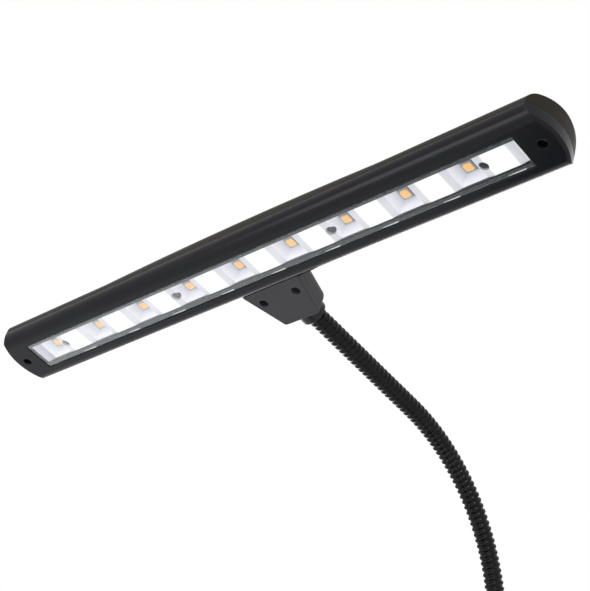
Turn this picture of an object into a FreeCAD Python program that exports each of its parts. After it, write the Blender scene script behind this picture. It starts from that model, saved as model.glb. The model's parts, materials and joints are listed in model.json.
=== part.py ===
import FreeCAD, Part
import math
import os

from FreeCAD import Vector

# Piano lamp: a slim bar head with nine lights, on a flexible arm that rises from a heavy round foot.
# Row frame: +Z up, origin at the middle of the foot's underside, X along the head, and the light
# falls towards -Y. Millimetres and degrees.

# ---------------------------------------------------------------- lights
LED_COUNT = 9
LED_PITCH = 30.0
LED_ROW_SHIFT = -7.0  # middle light from the middle of the window
LED_SIZE = 5.0
LED_HEIGHT = 1.5
PHOSPHOR_SIZE = 3.8
PHOSPHOR_ROUND = 0.9
PHOSPHOR_THICKNESS = 0.15

# ---------------------------------------------------------------- head: outer form
WINDOW_MARGIN = 7.4  # window longer than its nine cells
WINDOW_WIDTH = 15.2
WINDOW_DEPTH = 1.1  # ledge under the lens, behind the front face
WINDOW_BEVEL_WIDTH = 0.4  # bevel round the window
WINDOW_BEVEL_DEPTH = 0.3
HEAD_END = 15.3  # from the window's end to the tip
HEAD_WIDTH = 30.8
HEAD_DEPTH = 14.2
BACK_SWELL = 1.8  # the back stands out this much more in the middle
BACK_SWELL_LENGTH = 160.0
SIDE_ROUND = 5.4  # radius of the long front edges, and of the long rear edges
SIDE_FLAT = 2.1  # upright stretch between the two
END_BOW_RADIUS = 25.4  # plan radius of each end
END_CHAMFER = 1.0  # chamfer where each end meets the front face
HEAD_JOINT_DEPTH = 6.2  # where the front shell meets the rear shell
HEAD_JOINT_GAP = 0.2
HEAD_WALL = 1.6
FACE_WALL = 2.2
HEAD_TONGUE = 1.2  # reach of the rear shell's tongue into the front shell
HEAD_TONGUE_WALL = 1.0
HEAD_TILT = 21.9  # turn of the head about X, light towards -Y

# ---------------------------------------------------------------- head: window and optics
LENS_THICKNESS = 0.8
LEDGE_X = 0.5  # ledge under the lens at each end
LEDGE_Y = 2.0  # and along each side
FRAME_BAR = 3.0  # width of the black frame's long bars
FRAME_END = 1.6  # and of its ends
CELL_SINK = 0.2  # white cells behind the lens
CELL_LENGTH = 11.4  # flat part of each cell, midway between two lights
CUP_RIM_DROP = 0.6  # cup mouths below the cells
CUP_DROP = 3.7  # cup floors below the cup mouths
CUP_MOUTH_X = 11.4
CUP_MOUTH_Y = 10.3
CUP_FLOOR = 6.2
END_RAMP = 4.3  # slope at the far end of the last cell
LED_PROUD = 0.4  # light body above its cup floor
BOARD_WIDTH = 14.0
BOARD_THICKNESS = 1.0
SPREADER_THICKNESS = 1.2
STRIP_SETBACK = 1.2  # circuit strip shorter than the reflector at each end
BOARD_SCREW_CELLS = (-4.0, -1.5, 1.5, 4.0)  # reflector screws, counted in cells from the middle
BOARD_SCREW_SHIFT = 0.9

# ---------------------------------------------------------------- small screws and bosses
SCREW_HEAD_DIAMETER = 3.8
SCREW_HEAD_HEIGHT = 1.3
SCREW_SHANK_DIAMETER = 2.2
BOSS_WALL = 1.6
DRIVE_LENGTH = 2.3  # across the cross drive
DRIVE_WIDTH = 0.65
DRIVE_DEPTH = 0.6
REFLECTOR_SCREW_SINK = 1.0  # heads below the cells
END_SCREW_DISTANCE = 8.3  # from the window's end
END_SCREW_SINK = 2.6  # head of an end screw below the front face

# ---------------------------------------------------------------- bracket between head and arm
BRACKET_FACE_DEPTH = 1.0  # bracket's flat face behind the head's front face
BRACKET_DEPTH = 14.8
BRACKET_TOP_WIDTH = 32.3
BRACKET_END_WIDTH = 19.5
BRACKET_TAPER_START = 14.0
BRACKET_END = 35.3  # from the head's centre line to the bracket's end
BRACKET_START = 12.0  # where the saddle behind the head's shoulder begins
BRACKET_REAR_ROUND = 7.4
BRACKET_END_ROUND = 1.6
BRACKET_EDGE = 0.4  # chamfer round the bracket's front face
BRACKET_FRONT_HEIGHT = 3.3  # depth of the bracket's front piece
BRACKET_PLATE = 2.0
BRACKET_JOINT_GAP = 0.1
BRACKET_WALL = 1.8
BRACKET_SCREW_SPACING = 18.6
BRACKET_SCREW_DISTANCE = 20.2
BRACKET_SCREW_SINK = 1.2
BRACKET_SCREW_REACH = 8.0
HANGER_SCREW_SPACING = 10.8
HANGER_SCREW_REACH = 4.4  # past the head's side

# ---------------------------------------------------------------- flexible arm
ARM_DIAMETER = 8.8
ARM_BORE = 4.8
LEAD_DIAMETER = 3.0
LEAD_BEND = 2.5  # centre-line radius of the leads' bends in the foot
ARM_RISE = 190.0  # straight part above the foot
ARM_BEND_RADIUS = 90.0
ARM_REACH = 68.0  # straight part before the head
LEAN_HEIGHT = 35.0  # first hinge, above the top of the foot sleeve
LOWER_HINGE = 95.0  # along the arm, from the same place
UPPER_HINGE = 44.0  # along the arm, back from the collar
HINGE_GAP = 0.4
COLLAR_DIAMETER = 12.4
COLLAR_LENGTH = 5.2
COLLAR_FLOOR = 1.4
FITTING_FLANGE_DIAMETER = 10.6
FITTING_FLANGE_THICKNESS = 1.8
FITTING_SHANK_DIAMETER = 8.0

# ---------------------------------------------------------------- foot
FOOT_DIAMETER = 160.0
FOOT_HEIGHT = 24.0
FOOT_EDGE_ROUND = 9.0
FOOT_CROWN_RISE = 4.0  # middle of the dome above the top of its rounded edge
FOOT_WALL = 2.4
FOOT_LIFT = 1.2  # cover's rim above the table
PAD_THICKNESS = 1.5
PLATE_THICKNESS = 1.5
WEIGHT_INSET = 14.0  # weight's rim from the foot's edge
WEIGHT_THICKNESS = 8.8
ARM_INSET = 32.0  # arm from the foot's rear edge
SLEEVE_DIAMETER = 15.0
SLEEVE_PROUD = 14.0  # top of the sleeve above the top of the dome
SLEEVE_SOCKET = 12.0
FOOT_SHANK_DIAMETER = 8.0
NUT_ACROSS_FLATS = 13.0
NUT_HEIGHT = 4.0
SHANK_LIFT = 0.3  # shank and nut above the underside of the weight
FOOT_SCREW_INSET = 9.2  # foot screws from the foot's edge
FOOT_SCREW_HEAD = 6.0
FOOT_SCREW_HEAD_HEIGHT = 0.9
FOOT_SCREW_SHANK = 2.8
FOOT_SCREW_REACH = 9.0

# ---------------------------------------------------------------- switch and supply
BUTTON_INSET = 40.0  # button from the foot's front edge
BUTTON_DIAMETER = 15.6
BUTTON_PROUD = 1.8
BUTTON_FLANGE = 1.3
BUTTON_FLANGE_THICKNESS = 1.0
BUTTON_TRAVEL = 1.2
BUTTON_DISH = 0.5
BUTTON_WALL = 1.6
SWITCH_SIZE = 12.0
SWITCH_ROOM = 0.3  # between the pressed button and the switch
PLUNGER_DIAMETER = 3.6
PLUNGER_SEAT = 0.2
CONTROL_LENGTH = 46.0
CONTROL_WIDTH = 28.0
CONTROL_THICKNESS = 1.6
SPACER_HEIGHT = 1.5
SPACER_DIAMETER = 6.0
SPACER_X = 18.0
CONTROL_SCREW_REACH = 3.5
SOCKET_WIDTH = 9.4
SOCKET_LENGTH = 13.0
SOCKET_HEIGHT = 10.4
SOCKET_NOSE_DIAMETER = 9.0
SOCKET_NOSE_LENGTH = 4.5
SOCKET_BORE = 6.3
SOCKET_BORE_DEPTH = 9.5
SOCKET_PIN = 2.0
SOCKET_PIN_SINK = 1.0
SOCKET_INSET = 0.4
LEAD_ROOM = 10.5  # space behind the socket for its lead
LEAD_SIDE = 12.5  # supply lead beside the arm's foot

# ---------------------------------------------------------------- clearances
SEAT_GAP = 0.1  # between pieces that seat on each other
SLIP_GAP = 0.15  # round a piece that drops into a pocket, each side
SCREW_GAP = 0.2  # round a screw in a through hole
THREAD_GAP = 0.02  # round a screw in its own thread
LED_ROOM = 0.3
BUTTON_GAP = 0.35

# ---------------------------------------------------------------- derived: head
WINDOW_LENGTH = LED_COUNT * LED_PITCH + WINDOW_MARGIN
HEAD_LENGTH = WINDOW_LENGTH + 2 * HEAD_END
FACE_WIDTH = HEAD_WIDTH - 2 * SIDE_ROUND
WAIST_DEPTH = SIDE_ROUND + SIDE_FLAT
END_SCREW_X = WINDOW_LENGTH / 2 + END_SCREW_DISTANCE
MIDDLE_DEPTH = HEAD_DEPTH + BACK_SWELL
BACK_RADIUS = (BACK_SWELL_LENGTH ** 2 / 4 + BACK_SWELL ** 2) / (2 * BACK_SWELL)
BOARD_SCREW_X = [cells * LED_PITCH + BOARD_SCREW_SHIFT for cells in BOARD_SCREW_CELLS]
OPENING_HALF_LENGTH = WINDOW_LENGTH / 2 - LEDGE_X
OPENING_HALF_WIDTH = WINDOW_WIDTH / 2 - LEDGE_Y
CELL_DEPTH = WINDOW_DEPTH + CELL_SINK
RIM_DEPTH = CELL_DEPTH + CUP_RIM_DROP
CUP_DEPTH = RIM_DEPTH + CUP_DROP
LED_TOP = CUP_DEPTH - LED_PROUD
BOARD_FRONT = LED_TOP + LED_HEIGHT
REFLECTOR_BACK = BOARD_FRONT - SEAT_GAP
BOARD_BACK = BOARD_FRONT + BOARD_THICKNESS
SPREADER_FRONT = BOARD_BACK
SPREADER_BACK = SPREADER_FRONT + SPREADER_THICKNESS
LED_XS = [LED_ROW_SHIFT + LED_PITCH * (i - (LED_COUNT - 1) / 2) for i in range(LED_COUNT)]
REFLECTOR_HALF_LENGTH = OPENING_HALF_LENGTH - SLIP_GAP
REFLECTOR_HALF_WIDTH = OPENING_HALF_WIDTH - SLIP_GAP
STRIP_HALF_LENGTH = REFLECTOR_HALF_LENGTH - STRIP_SETBACK
SHANK = SCREW_SHANK_DIAMETER / 2
HEAD_RADIUS = SCREW_HEAD_DIAMETER / 2
BOSS_RADIUS = SHANK + BOSS_WALL
BRACKET_AXIS_DEPTH = BRACKET_FACE_DEPTH + BRACKET_DEPTH / 2
BRACKET_BACK = BRACKET_FACE_DEPTH + BRACKET_DEPTH
BRACKET_SPLIT = BRACKET_FACE_DEPTH + BRACKET_FRONT_HEIGHT
HANGER_SEAT = HEAD_WIDTH / 2 - HEAD_WALL
ARM_RADIUS = ARM_DIAMETER / 2
LEAD_RADIUS = LEAD_DIAMETER / 2

# ---------------------------------------------------------------- derived: foot
PLATE_BOTTOM = PAD_THICKNESS
PLATE_TOP = PLATE_BOTTOM + PLATE_THICKNESS
WEIGHT_BOTTOM = PLATE_TOP + SEAT_GAP
WEIGHT_TOP = WEIGHT_BOTTOM + WEIGHT_THICKNESS
FOOT_RADIUS = FOOT_DIAMETER / 2
ARM_Y = FOOT_RADIUS - ARM_INSET
BUTTON_Y = BUTTON_INSET - FOOT_RADIUS
EDGE_CENTRE_R = FOOT_RADIUS - FOOT_EDGE_ROUND
EDGE_CENTRE_Z = FOOT_HEIGHT - FOOT_CROWN_RISE - FOOT_EDGE_ROUND
SLEEVE_TOP = FOOT_HEIGHT + SLEEVE_PROUD
SHANK_BOTTOM = WEIGHT_BOTTOM + SHANK_LIFT
NUT_TOP = SHANK_BOTTOM + NUT_HEIGHT
BOARD_BOTTOM = WEIGHT_TOP + SPACER_HEIGHT
BOARD_TOP = BOARD_BOTTOM + CONTROL_THICKNESS
SOCKET_FACE = FOOT_RADIUS - SOCKET_INSET
SOCKET_BACK = SOCKET_FACE - SOCKET_LENGTH
SOCKET_AXIS = PLATE_TOP + SEAT_GAP + SOCKET_HEIGHT / 2
LEAD_HEIGHT = WEIGHT_TOP + SEAT_GAP + LEAD_RADIUS  # leads that lie on the weight


def crown_radius(half_flat, rise, round_radius):
    """Radius of a crown arc that is tangent to a corner round and peaks `rise` above its centre."""
    square = half_flat ** 2 + rise ** 2 - round_radius ** 2
    return square / (2 * (rise - round_radius))


HEAD_CROWN = crown_radius(FACE_WIDTH / 2, HEAD_DEPTH - WAIST_DEPTH, SIDE_ROUND)
FOOT_CROWN = crown_radius(EDGE_CENTRE_R, FOOT_CROWN_RISE + FOOT_EDGE_ROUND, FOOT_EDGE_ROUND)


# ---------------------------------------------------------------- plain shapes

def fuse(shapes):
    """One solid from shapes that touch or overlap."""
    whole = shapes[0].multiFuse(shapes[1:]) if len(shapes) > 1 else shapes[0]
    return whole.removeSplitter()


def box(x0, x1, y0, y1, z0, z1):
    """Box between two corners."""
    return Part.makeBox(x1 - x0, y1 - y0, z1 - z0, Vector(x0, y0, z0))


def rod(radius, x, y, z0, z1):
    """Upright cylinder between two heights."""
    return Part.makeCylinder(radius, z1 - z0, Vector(x, y, z0))


def rod_y(radius, x, z, y0, y1):
    """Cylinder along Y between two places."""
    return Part.makeCylinder(radius, y1 - y0, Vector(x, y0, z), Vector(0, 1, 0))


def line(p, q):
    """Straight edge."""
    return Part.LineSegment(p, q).toShape()


def arc(p, middle, q):
    """Arc edge through three points."""
    return Part.Arc(p, middle, q).toShape()


def tapered_block(x, y, first, second, z0, z1):
    """Four-sided block, `first` = (x size, y size) at z0 and `second` at z1."""

    def frame(size, z):
        half_x = size[0] / 2
        half_y = size[1] / 2
        corners = [(-half_x, -half_y), (half_x, -half_y), (half_x, half_y), (-half_x, half_y)]
        points = [Vector(x + cx, y + cy, z) for cx, cy in corners]
        return Part.makePolygon(points + [points[0]])

    return Part.makeLoft([frame(first, z0), frame(second, z1)], True, True)


def screw(x, y, top, length, head_radius=HEAD_RADIUS, head_height=SCREW_HEAD_HEIGHT, shank=SHANK):
    """Pan-head screw along +Z with a cross drive; `top` is its head's, `length` its shank's."""
    seat = top + head_height
    head = rod(head_radius, x, y, top, seat)
    crown = [e for e in head.Edges if isinstance(e.Curve, Part.Circle) and e.Curve.Center.z < top + 0.01]
    head = head.makeFillet(head_height * 0.4, crown)
    body = fuse([head, rod(shank, x, y, seat - head_height / 4, seat + length)])
    half = DRIVE_LENGTH / 2
    thin = DRIVE_WIDTH / 2
    floor = top + min(DRIVE_DEPTH, head_height / 2)
    drive = box(x - half, x + half, y - thin, y + thin, top - 1, floor)
    drive = drive.fuse(box(x - thin, x + thin, y - half, y + half, top - 1, floor))
    return body.cut(drive)


def wire_solid(points, radius, bend):
    """Round lead through straight runs joined by tangent arcs of one radius."""
    edges = []
    last = points[0]
    for before, corner, after in zip(points, points[1:], points[2:]):
        to_before = (before - corner).normalize()
        to_after = (after - corner).normalize()
        half = to_before.getAngle(to_after) / 2
        enter = corner + to_before * (bend / math.tan(half))
        leave = corner + to_after * (bend / math.tan(half))
        bisector = (to_before + to_after).normalize()
        middle = corner + bisector * (bend / math.sin(half) - bend)
        if enter.distanceToPoint(last) > 1e-6:
            edges.append(line(last, enter))
        edges.append(arc(enter, middle, leave))
        last = leave
    edges.append(line(last, points[-1]))
    direction = (points[1] - points[0]).normalize()
    section = Part.Wire(Part.Circle(points[0], direction, radius).toShape())
    return Part.Wire(edges).makePipeShell([section], True, True)


# ---------------------------------------------------------------- arm's centre line

TURN = math.radians(90.0 - HEAD_TILT)
ARC_LENGTH = ARM_BEND_RADIUS * TURN
ARM_LENGTH = ARM_RISE + ARC_LENGTH + ARM_REACH
BEND_CENTRE = Vector(0, ARM_Y - ARM_BEND_RADIUS, SLEEVE_TOP + ARM_RISE)
HINGE_STATIONS = (LEAN_HEIGHT, LOWER_HINGE, ARM_RISE + ARC_LENGTH / 2, ARM_LENGTH - UPPER_HINGE)


def arm_point(station):
    """Point and direction of the arm's centre line, `station` mm from the top of the foot sleeve."""
    if station <= ARM_RISE:
        return Vector(0, ARM_Y, SLEEVE_TOP + station), Vector(0, 0, 1)
    angle = min((station - ARM_RISE) / ARM_BEND_RADIUS, TURN)
    spoke = Vector(0, math.cos(angle), math.sin(angle))
    direction = Vector(0, -math.sin(angle), math.cos(angle))
    beyond = max(0.0, station - ARM_RISE - ARC_LENGTH)
    return BEND_CENTRE + spoke * ARM_BEND_RADIUS + direction * beyond, direction


def arm_tube(start, end, radius):
    """Round bar along the arm's centre line between two stations."""
    pieces = []
    rise_end = min(end, ARM_RISE)
    if start < rise_end:
        point, direction = arm_point(start)
        pieces.append(Part.makeCylinder(radius, rise_end - start, point, direction))
    arc_start = max(start, ARM_RISE)
    arc_end = min(end, ARM_RISE + ARC_LENGTH)
    if arc_start < arc_end:
        point, direction = arm_point(arc_start)
        disc = Part.Face(Part.Wire(Part.Circle(point, direction, radius).toShape()))
        turn = math.degrees((arc_end - arc_start) / ARM_BEND_RADIUS)
        pieces.append(disc.revolve(BEND_CENTRE, Vector(1, 0, 0), turn))
    reach_start = max(start, ARM_RISE + ARC_LENGTH)
    if reach_start < end:
        point, direction = arm_point(reach_start)
        pieces.append(Part.makeCylinder(radius, end - reach_start, point, direction))
    return fuse(pieces)


# ---------------------------------------------------------------- head's own frame
# In it X runs along the head, Y towards the arm, Z from the front face to the back.

def head_profile(inset, lift):
    """Cross-section of the head, made smaller by `inset`, with its back moved out by `lift`."""
    flat = FACE_WIDTH / 2
    side = SIDE_ROUND - inset
    waist_z = WAIST_DEPTH + lift
    crown_z = HEAD_DEPTH + lift - HEAD_CROWN
    swing = math.atan2(waist_z - crown_z, flat)

    def corner(sign, centre_z, angle):
        y = sign * (flat + side * math.cos(angle))
        return Vector(0, y, centre_z + side * math.sin(angle))

    def half(sign):
        front = corner(sign, SIDE_ROUND, -math.pi / 2)
        front_middle = corner(sign, SIDE_ROUND, -math.pi / 4)
        belly = corner(sign, SIDE_ROUND, 0)
        waist = corner(sign, waist_z, 0)
        rear_middle = corner(sign, waist_z, swing / 2)
        shoulder = corner(sign, waist_z, swing)
        return front, front_middle, belly, waist, rear_middle, shoulder

    right = half(1)
    left = half(-1)
    crown = Vector(0, 0, HEAD_DEPTH + lift - inset)
    edges = [
        line(left[0], right[0]),
        arc(right[0], right[1], right[2]),
        line(right[2], right[3]),
        arc(right[3], right[4], right[5]),
        arc(right[5], crown, left[5]),
        arc(left[5], left[4], left[3]),
        line(left[3], left[2]),
        arc(left[2], left[1], left[0]),
    ]
    return Part.Face(Part.Wire(edges))


def head_section(inset):
    """Bar with the head's cross-section, made smaller by `inset`, its back bowed out in the middle."""
    bar = head_profile(inset, 0).extrude(Vector(2 * HEAD_LENGTH, 0, 0))
    bar.translate(Vector(-HEAD_LENGTH, 0, 0))
    centre = Vector(0, 0, MIDDLE_DEPTH - BACK_RADIUS)
    swing = math.degrees(BACK_SWELL_LENGTH / 2 / BACK_RADIUS) * 1.1
    start = head_profile(inset, BACK_SWELL)
    start.rotate(centre, Vector(0, 1, 0), -swing)
    bow = start.revolve(centre, Vector(0, 1, 0), 2 * swing)
    reach = BACK_SWELL_LENGTH
    upper = box(-reach, reach, -HEAD_WIDTH, HEAD_WIDTH, HEAD_JOINT_DEPTH, 2 * HEAD_DEPTH)
    return fuse([bar, bow.common(upper)])


def head_form(inset, z0, z1):
    """Head's outer form, made smaller by `inset`, between two depths."""
    centre = HEAD_LENGTH / 2 - END_BOW_RADIUS
    plan = box(-centre, centre, -HEAD_WIDTH, HEAD_WIDTH, z0, z1)
    for x in (-centre, centre):
        plan = plan.fuse(rod(END_BOW_RADIUS - inset, x, 0, z0, z1))
    return head_section(inset).common(plan)


def ring(outer_inset, inner_inset, z0, z1):
    """Wall that follows the head's outline between two insets."""
    return head_form(outer_inset, z0, z1).cut(head_form(inner_inset, z0 - 1, z1 + 1))


def end_chamfer_cut(sign):
    """What the chamfer takes off the front edge of one end."""
    centre = sign * (HEAD_LENGTH / 2 - END_BOW_RADIUS)
    beyond = END_BOW_RADIUS + 2 * END_CHAMFER
    block = rod(beyond, centre, 0, -END_CHAMFER, END_CHAMFER)
    inside = Part.makeCone(
        END_BOW_RADIUS - 2 * END_CHAMFER,
        END_BOW_RADIUS,
        2 * END_CHAMFER,
        Vector(centre, 0, -END_CHAMFER),
    )
    end = sign * HEAD_LENGTH
    keep = box(min(centre, end), max(centre, end), -HEAD_WIDTH, HEAD_WIDTH, -HEAD_DEPTH, HEAD_DEPTH)
    return block.cut(inside).common(keep)


def end_screw_xs():
    """Where the two end screws stand."""
    return (-END_SCREW_X, END_SCREW_X)


def front_bezel():
    """Front shell: flat face with the window, rounded long sides and the end screw wells."""
    rim = HEAD_JOINT_DEPTH - HEAD_JOINT_GAP
    shell = head_form(0, 0, rim).cut(head_form(HEAD_WALL, FACE_WALL, rim + 1))
    for sign in (-1, 1):
        shell = shell.cut(end_chamfer_cut(sign))
    half_x = WINDOW_LENGTH / 2
    half_y = WINDOW_WIDTH / 2
    shell = shell.cut(box(-half_x, half_x, -half_y, half_y, -1, WINDOW_DEPTH))
    bevel = 2 * WINDOW_BEVEL_WIDTH
    recess = (WINDOW_LENGTH, WINDOW_WIDTH)
    mouth = (WINDOW_LENGTH + bevel, WINDOW_WIDTH + bevel)
    shell = shell.cut(tapered_block(0, 0, mouth, recess, 0, WINDOW_BEVEL_DEPTH))
    half_x = OPENING_HALF_LENGTH
    half_y = OPENING_HALF_WIDTH
    shell = shell.cut(box(-half_x, half_x, -half_y, half_y, 0, FACE_WALL + 1))
    bosses = [centre_boss(x, FACE_WALL / 2, rim, HEAD_RADIUS + BOSS_WALL) for x in end_screw_xs()]
    shell = fuse([shell] + bosses)
    for x in end_screw_xs():
        seat = END_SCREW_SINK + SCREW_HEAD_HEIGHT
        shell = shell.cut(rod(HEAD_RADIUS + SLIP_GAP, x, 0, -1, seat))
        shell = shell.cut(rod(SHANK + SCREW_GAP, x, 0, 0, rim + 1))
    return shell


def centre_boss(x, z0, z1, radius):
    """Round boss on the head's centre line, kept inside its walls."""
    return rod(radius, x, 0, z0, z1).common(head_form(HEAD_WALL / 2, 0, MIDDLE_DEPTH))


def rear_housing():
    """Rear shell: crowned back, a tongue inside the front shell, and posts for the screws."""
    shell = head_form(0, HEAD_JOINT_DEPTH, MIDDLE_DEPTH).cut(head_form(HEAD_WALL, 0, MIDDLE_DEPTH))
    outer = HEAD_WALL + SLIP_GAP
    inner = outer + HEAD_TONGUE_WALL
    root = ring(HEAD_WALL / 2, inner, HEAD_JOINT_DEPTH, HEAD_JOINT_DEPTH + HEAD_TONGUE_WALL)
    tongue = ring(outer, inner, HEAD_JOINT_DEPTH - HEAD_TONGUE, HEAD_JOINT_DEPTH + HEAD_TONGUE_WALL)
    for x in end_screw_xs():
        tongue = tongue.cut(rod(HEAD_RADIUS + BOSS_WALL + SLIP_GAP, x, 0, 0, HEAD_JOINT_DEPTH))
    posts = [centre_boss(x, SPREADER_BACK, MIDDLE_DEPTH, BOSS_RADIUS) for x in BOARD_SCREW_X]
    posts += [centre_boss(x, HEAD_JOINT_DEPTH, MIDDLE_DEPTH, BOSS_RADIUS) for x in end_screw_xs()]
    shell = fuse([shell, root, tongue] + posts)
    blind = HEAD_DEPTH - HEAD_WALL
    for x in list(BOARD_SCREW_X) + list(end_screw_xs()):
        shell = shell.cut(rod(SHANK + THREAD_GAP, x, 0, HEAD_JOINT_DEPTH - 1, blind))
    for x in hanger_xs():
        shell = shell.cut(rod_y(SHANK + SCREW_GAP, x, BRACKET_AXIS_DEPTH, HANGER_SEAT - 1, HEAD_WIDTH))
        room = rod_y(HEAD_RADIUS + SLIP_GAP, x, BRACKET_AXIS_DEPTH, BOARD_WIDTH / 2, HANGER_SEAT)
        shell = shell.cut(room)
    return shell.cut(lead_passage(HEAD_WIDTH))


def window_lens():
    """Clear strip that lies on the window's ledge, just below the front face."""
    half_x = WINDOW_LENGTH / 2 - SLIP_GAP
    half_y = WINDOW_WIDTH / 2 - SLIP_GAP
    return box(-half_x, half_x, -half_y, half_y, WINDOW_DEPTH - LENS_THICKNESS, WINDOW_DEPTH)


def lens_frame():
    """Black frame round the reflector, between the front shell and the circuit strip."""
    half_x = OPENING_HALF_LENGTH
    half_y = OPENING_HALF_WIDTH
    outer_x = half_x + FRAME_END
    outer_y = half_y + FRAME_BAR
    outer = box(-outer_x, outer_x, -outer_y, outer_y, FACE_WALL, BOARD_FRONT)
    return outer.cut(box(-half_x, half_x, -half_y, half_y, 0, HEAD_DEPTH))


def across_strip(outline):
    """Prism over the whole width of the reflector from (x, z) corners."""
    points = [Vector(x, -HEAD_WIDTH / 2, z) for x, z in outline]
    return Part.Face(Part.makePolygon(points + [points[0]])).extrude(Vector(0, HEAD_WIDTH, 0))


def reflector_strip():
    """White moulding: a square cup round each light, and a flat white cell between the cups."""
    half_x = REFLECTOR_HALF_LENGTH
    half_y = REFLECTOR_HALF_WIDTH
    strip = box(-half_x, half_x, -half_y, half_y, CELL_DEPTH, REFLECTOR_BACK)
    slope_start = (LED_PITCH - CELL_LENGTH) / 2
    slope_end = CUP_MOUTH_X / 2
    cuts = []
    for x in LED_XS:
        outline = [(x - slope_start, CELL_DEPTH), (x + slope_start, CELL_DEPTH)]
        outline += [(x + slope_end, RIM_DEPTH), (x - slope_end, RIM_DEPTH)]
        cuts.append(across_strip(outline))
    end = half_x + END_RAMP
    cuts.append(across_strip([(half_x - END_RAMP, CELL_DEPTH), (end, CELL_DEPTH), (half_x, RIM_DEPTH)]))
    mouth = (CUP_MOUTH_X, CUP_MOUTH_Y)
    floor = (CUP_FLOOR, CUP_FLOOR)
    hole = LED_SIZE / 2 + LED_ROOM
    for x in LED_XS:
        cuts.append(tapered_block(x, 0, mouth, floor, RIM_DEPTH, CUP_DEPTH))
        cuts.append(box(x - hole, x + hole, -hole, hole, LED_TOP, REFLECTOR_BACK + 1))
    for x in BOARD_SCREW_X:
        cuts.append(rod(HEAD_RADIUS + SCREW_GAP, x, 0, 0, reflector_screw_top() + SCREW_HEAD_HEIGHT))
        cuts.append(rod(SHANK + SCREW_GAP, x, 0, RIM_DEPTH, REFLECTOR_BACK + 1))
    return strip.cut(cuts)


def strip_with_holes(half_length, z0, z1):
    """Flat strip behind the reflector, with a hole for each reflector screw."""
    strip = box(-half_length, half_length, -BOARD_WIDTH / 2, BOARD_WIDTH / 2, z0, z1)
    return strip.cut([rod(SHANK + SCREW_GAP, x, 0, z0 - 1, z1 + 1) for x in BOARD_SCREW_X])


def led_board():
    """Circuit strip that carries the lights."""
    return strip_with_holes(STRIP_HALF_LENGTH, BOARD_FRONT, BOARD_BACK)


def heat_spreader():
    """Aluminium strip behind the circuit strip."""
    return strip_with_holes(STRIP_HALF_LENGTH - STRIP_SETBACK, SPREADER_FRONT, SPREADER_BACK)


def led_packages():
    """Square light bodies on the circuit strip."""
    half = LED_SIZE / 2
    return Part.makeCompound([box(x - half, x + half, -half, half, LED_TOP, BOARD_FRONT) for x in LED_XS])


def led_phosphors():
    """Warm emitting squares with rounded corners on the light bodies."""
    half = PHOSPHOR_SIZE / 2
    squares = []
    for x in LED_XS:
        square = box(x - half, x + half, -half, half, LED_TOP - PHOSPHOR_THICKNESS, LED_TOP)
        upright = [e for e in square.Edges if abs(e.Vertexes[0].Z - e.Vertexes[1].Z) > 0.01]
        squares.append(square.makeFillet(PHOSPHOR_ROUND, upright))
    return Part.makeCompound(squares)


def reflector_screw_top():
    """Depth of the heads of the reflector screws."""
    return CELL_DEPTH + REFLECTOR_SCREW_SINK


def reflector_screws():
    """Screws that hold the reflector, circuit strip and spreader to the posts."""
    top = reflector_screw_top()
    length = HEAD_DEPTH - HEAD_WALL - SEAT_GAP - top - SCREW_HEAD_HEIGHT
    return Part.makeCompound([screw(x, 0, top, length) for x in BOARD_SCREW_X])


def end_screws():
    """Screws in the wells at the two ends of the front face."""
    length = HEAD_DEPTH - HEAD_WALL - SEAT_GAP - END_SCREW_SINK - SCREW_HEAD_HEIGHT
    return Part.makeCompound([screw(x, 0, END_SCREW_SINK, length) for x in end_screw_xs()])


# ---------------------------------------------------------------- bracket, in the head's own frame

def bracket_form(inset):
    """Bracket's outer form before the head is taken out of it, made smaller by `inset`."""
    top = BRACKET_START + inset
    bend = BRACKET_TAPER_START
    end = BRACKET_END - inset
    wide = BRACKET_TOP_WIDTH / 2 - inset
    narrow = BRACKET_END_WIDTH / 2 - inset
    z0 = BRACKET_FACE_DEPTH + inset
    z1 = BRACKET_BACK - inset
    corners = [(-wide, top), (wide, top), (wide, bend), (narrow, end), (-narrow, end), (-wide, bend)]
    points = [Vector(x, y, z0) for x, y in corners]
    solid = Part.Face(Part.makePolygon(points + [points[0]])).extrude(Vector(0, 0, z1 - z0))

    def is_rear_side(edge):
        at_back = all(abs(v.Z - z1) < 0.01 for v in edge.Vertexes)
        return at_back and abs(edge.CenterOfMass.x) > narrow / 2

    def is_end_corner(edge):
        upright = abs(edge.Vertexes[0].Z - edge.Vertexes[-1].Z) > 1
        return upright and all(abs(v.Y - end) < 0.01 for v in edge.Vertexes)

    rear_round = BRACKET_REAR_ROUND - inset
    solid = solid.makeFillet(rear_round, [e for e in solid.Edges if is_rear_side(e)])
    end_round = max(BRACKET_END_ROUND - inset, 0.2)
    straight = [e for e in solid.Edges if len(e.Vertexes) == 2 and isinstance(e.Curve, Part.Line)]
    return solid.makeFillet(end_round, [e for e in straight if is_end_corner(e)])


def bracket_slab(y0, z0, z1):
    """Everything of the bracket's breadth from a distance on, between two depths."""
    return box(-BRACKET_TOP_WIDTH, BRACKET_TOP_WIDTH, y0, 2 * BRACKET_END, z0, z1)


def head_room():
    """Space that the head takes out of the bracket."""
    return head_form(-SLIP_GAP, -HEAD_DEPTH, 2 * HEAD_DEPTH)


def bracket_screw_xs():
    """Where the two screws of the bracket stand."""
    return (-BRACKET_SCREW_SPACING / 2, BRACKET_SCREW_SPACING / 2)


def hanger_xs():
    """Where the two screws between head and bracket stand."""
    return (-HANGER_SCREW_SPACING / 2, HANGER_SCREW_SPACING / 2)


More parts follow.
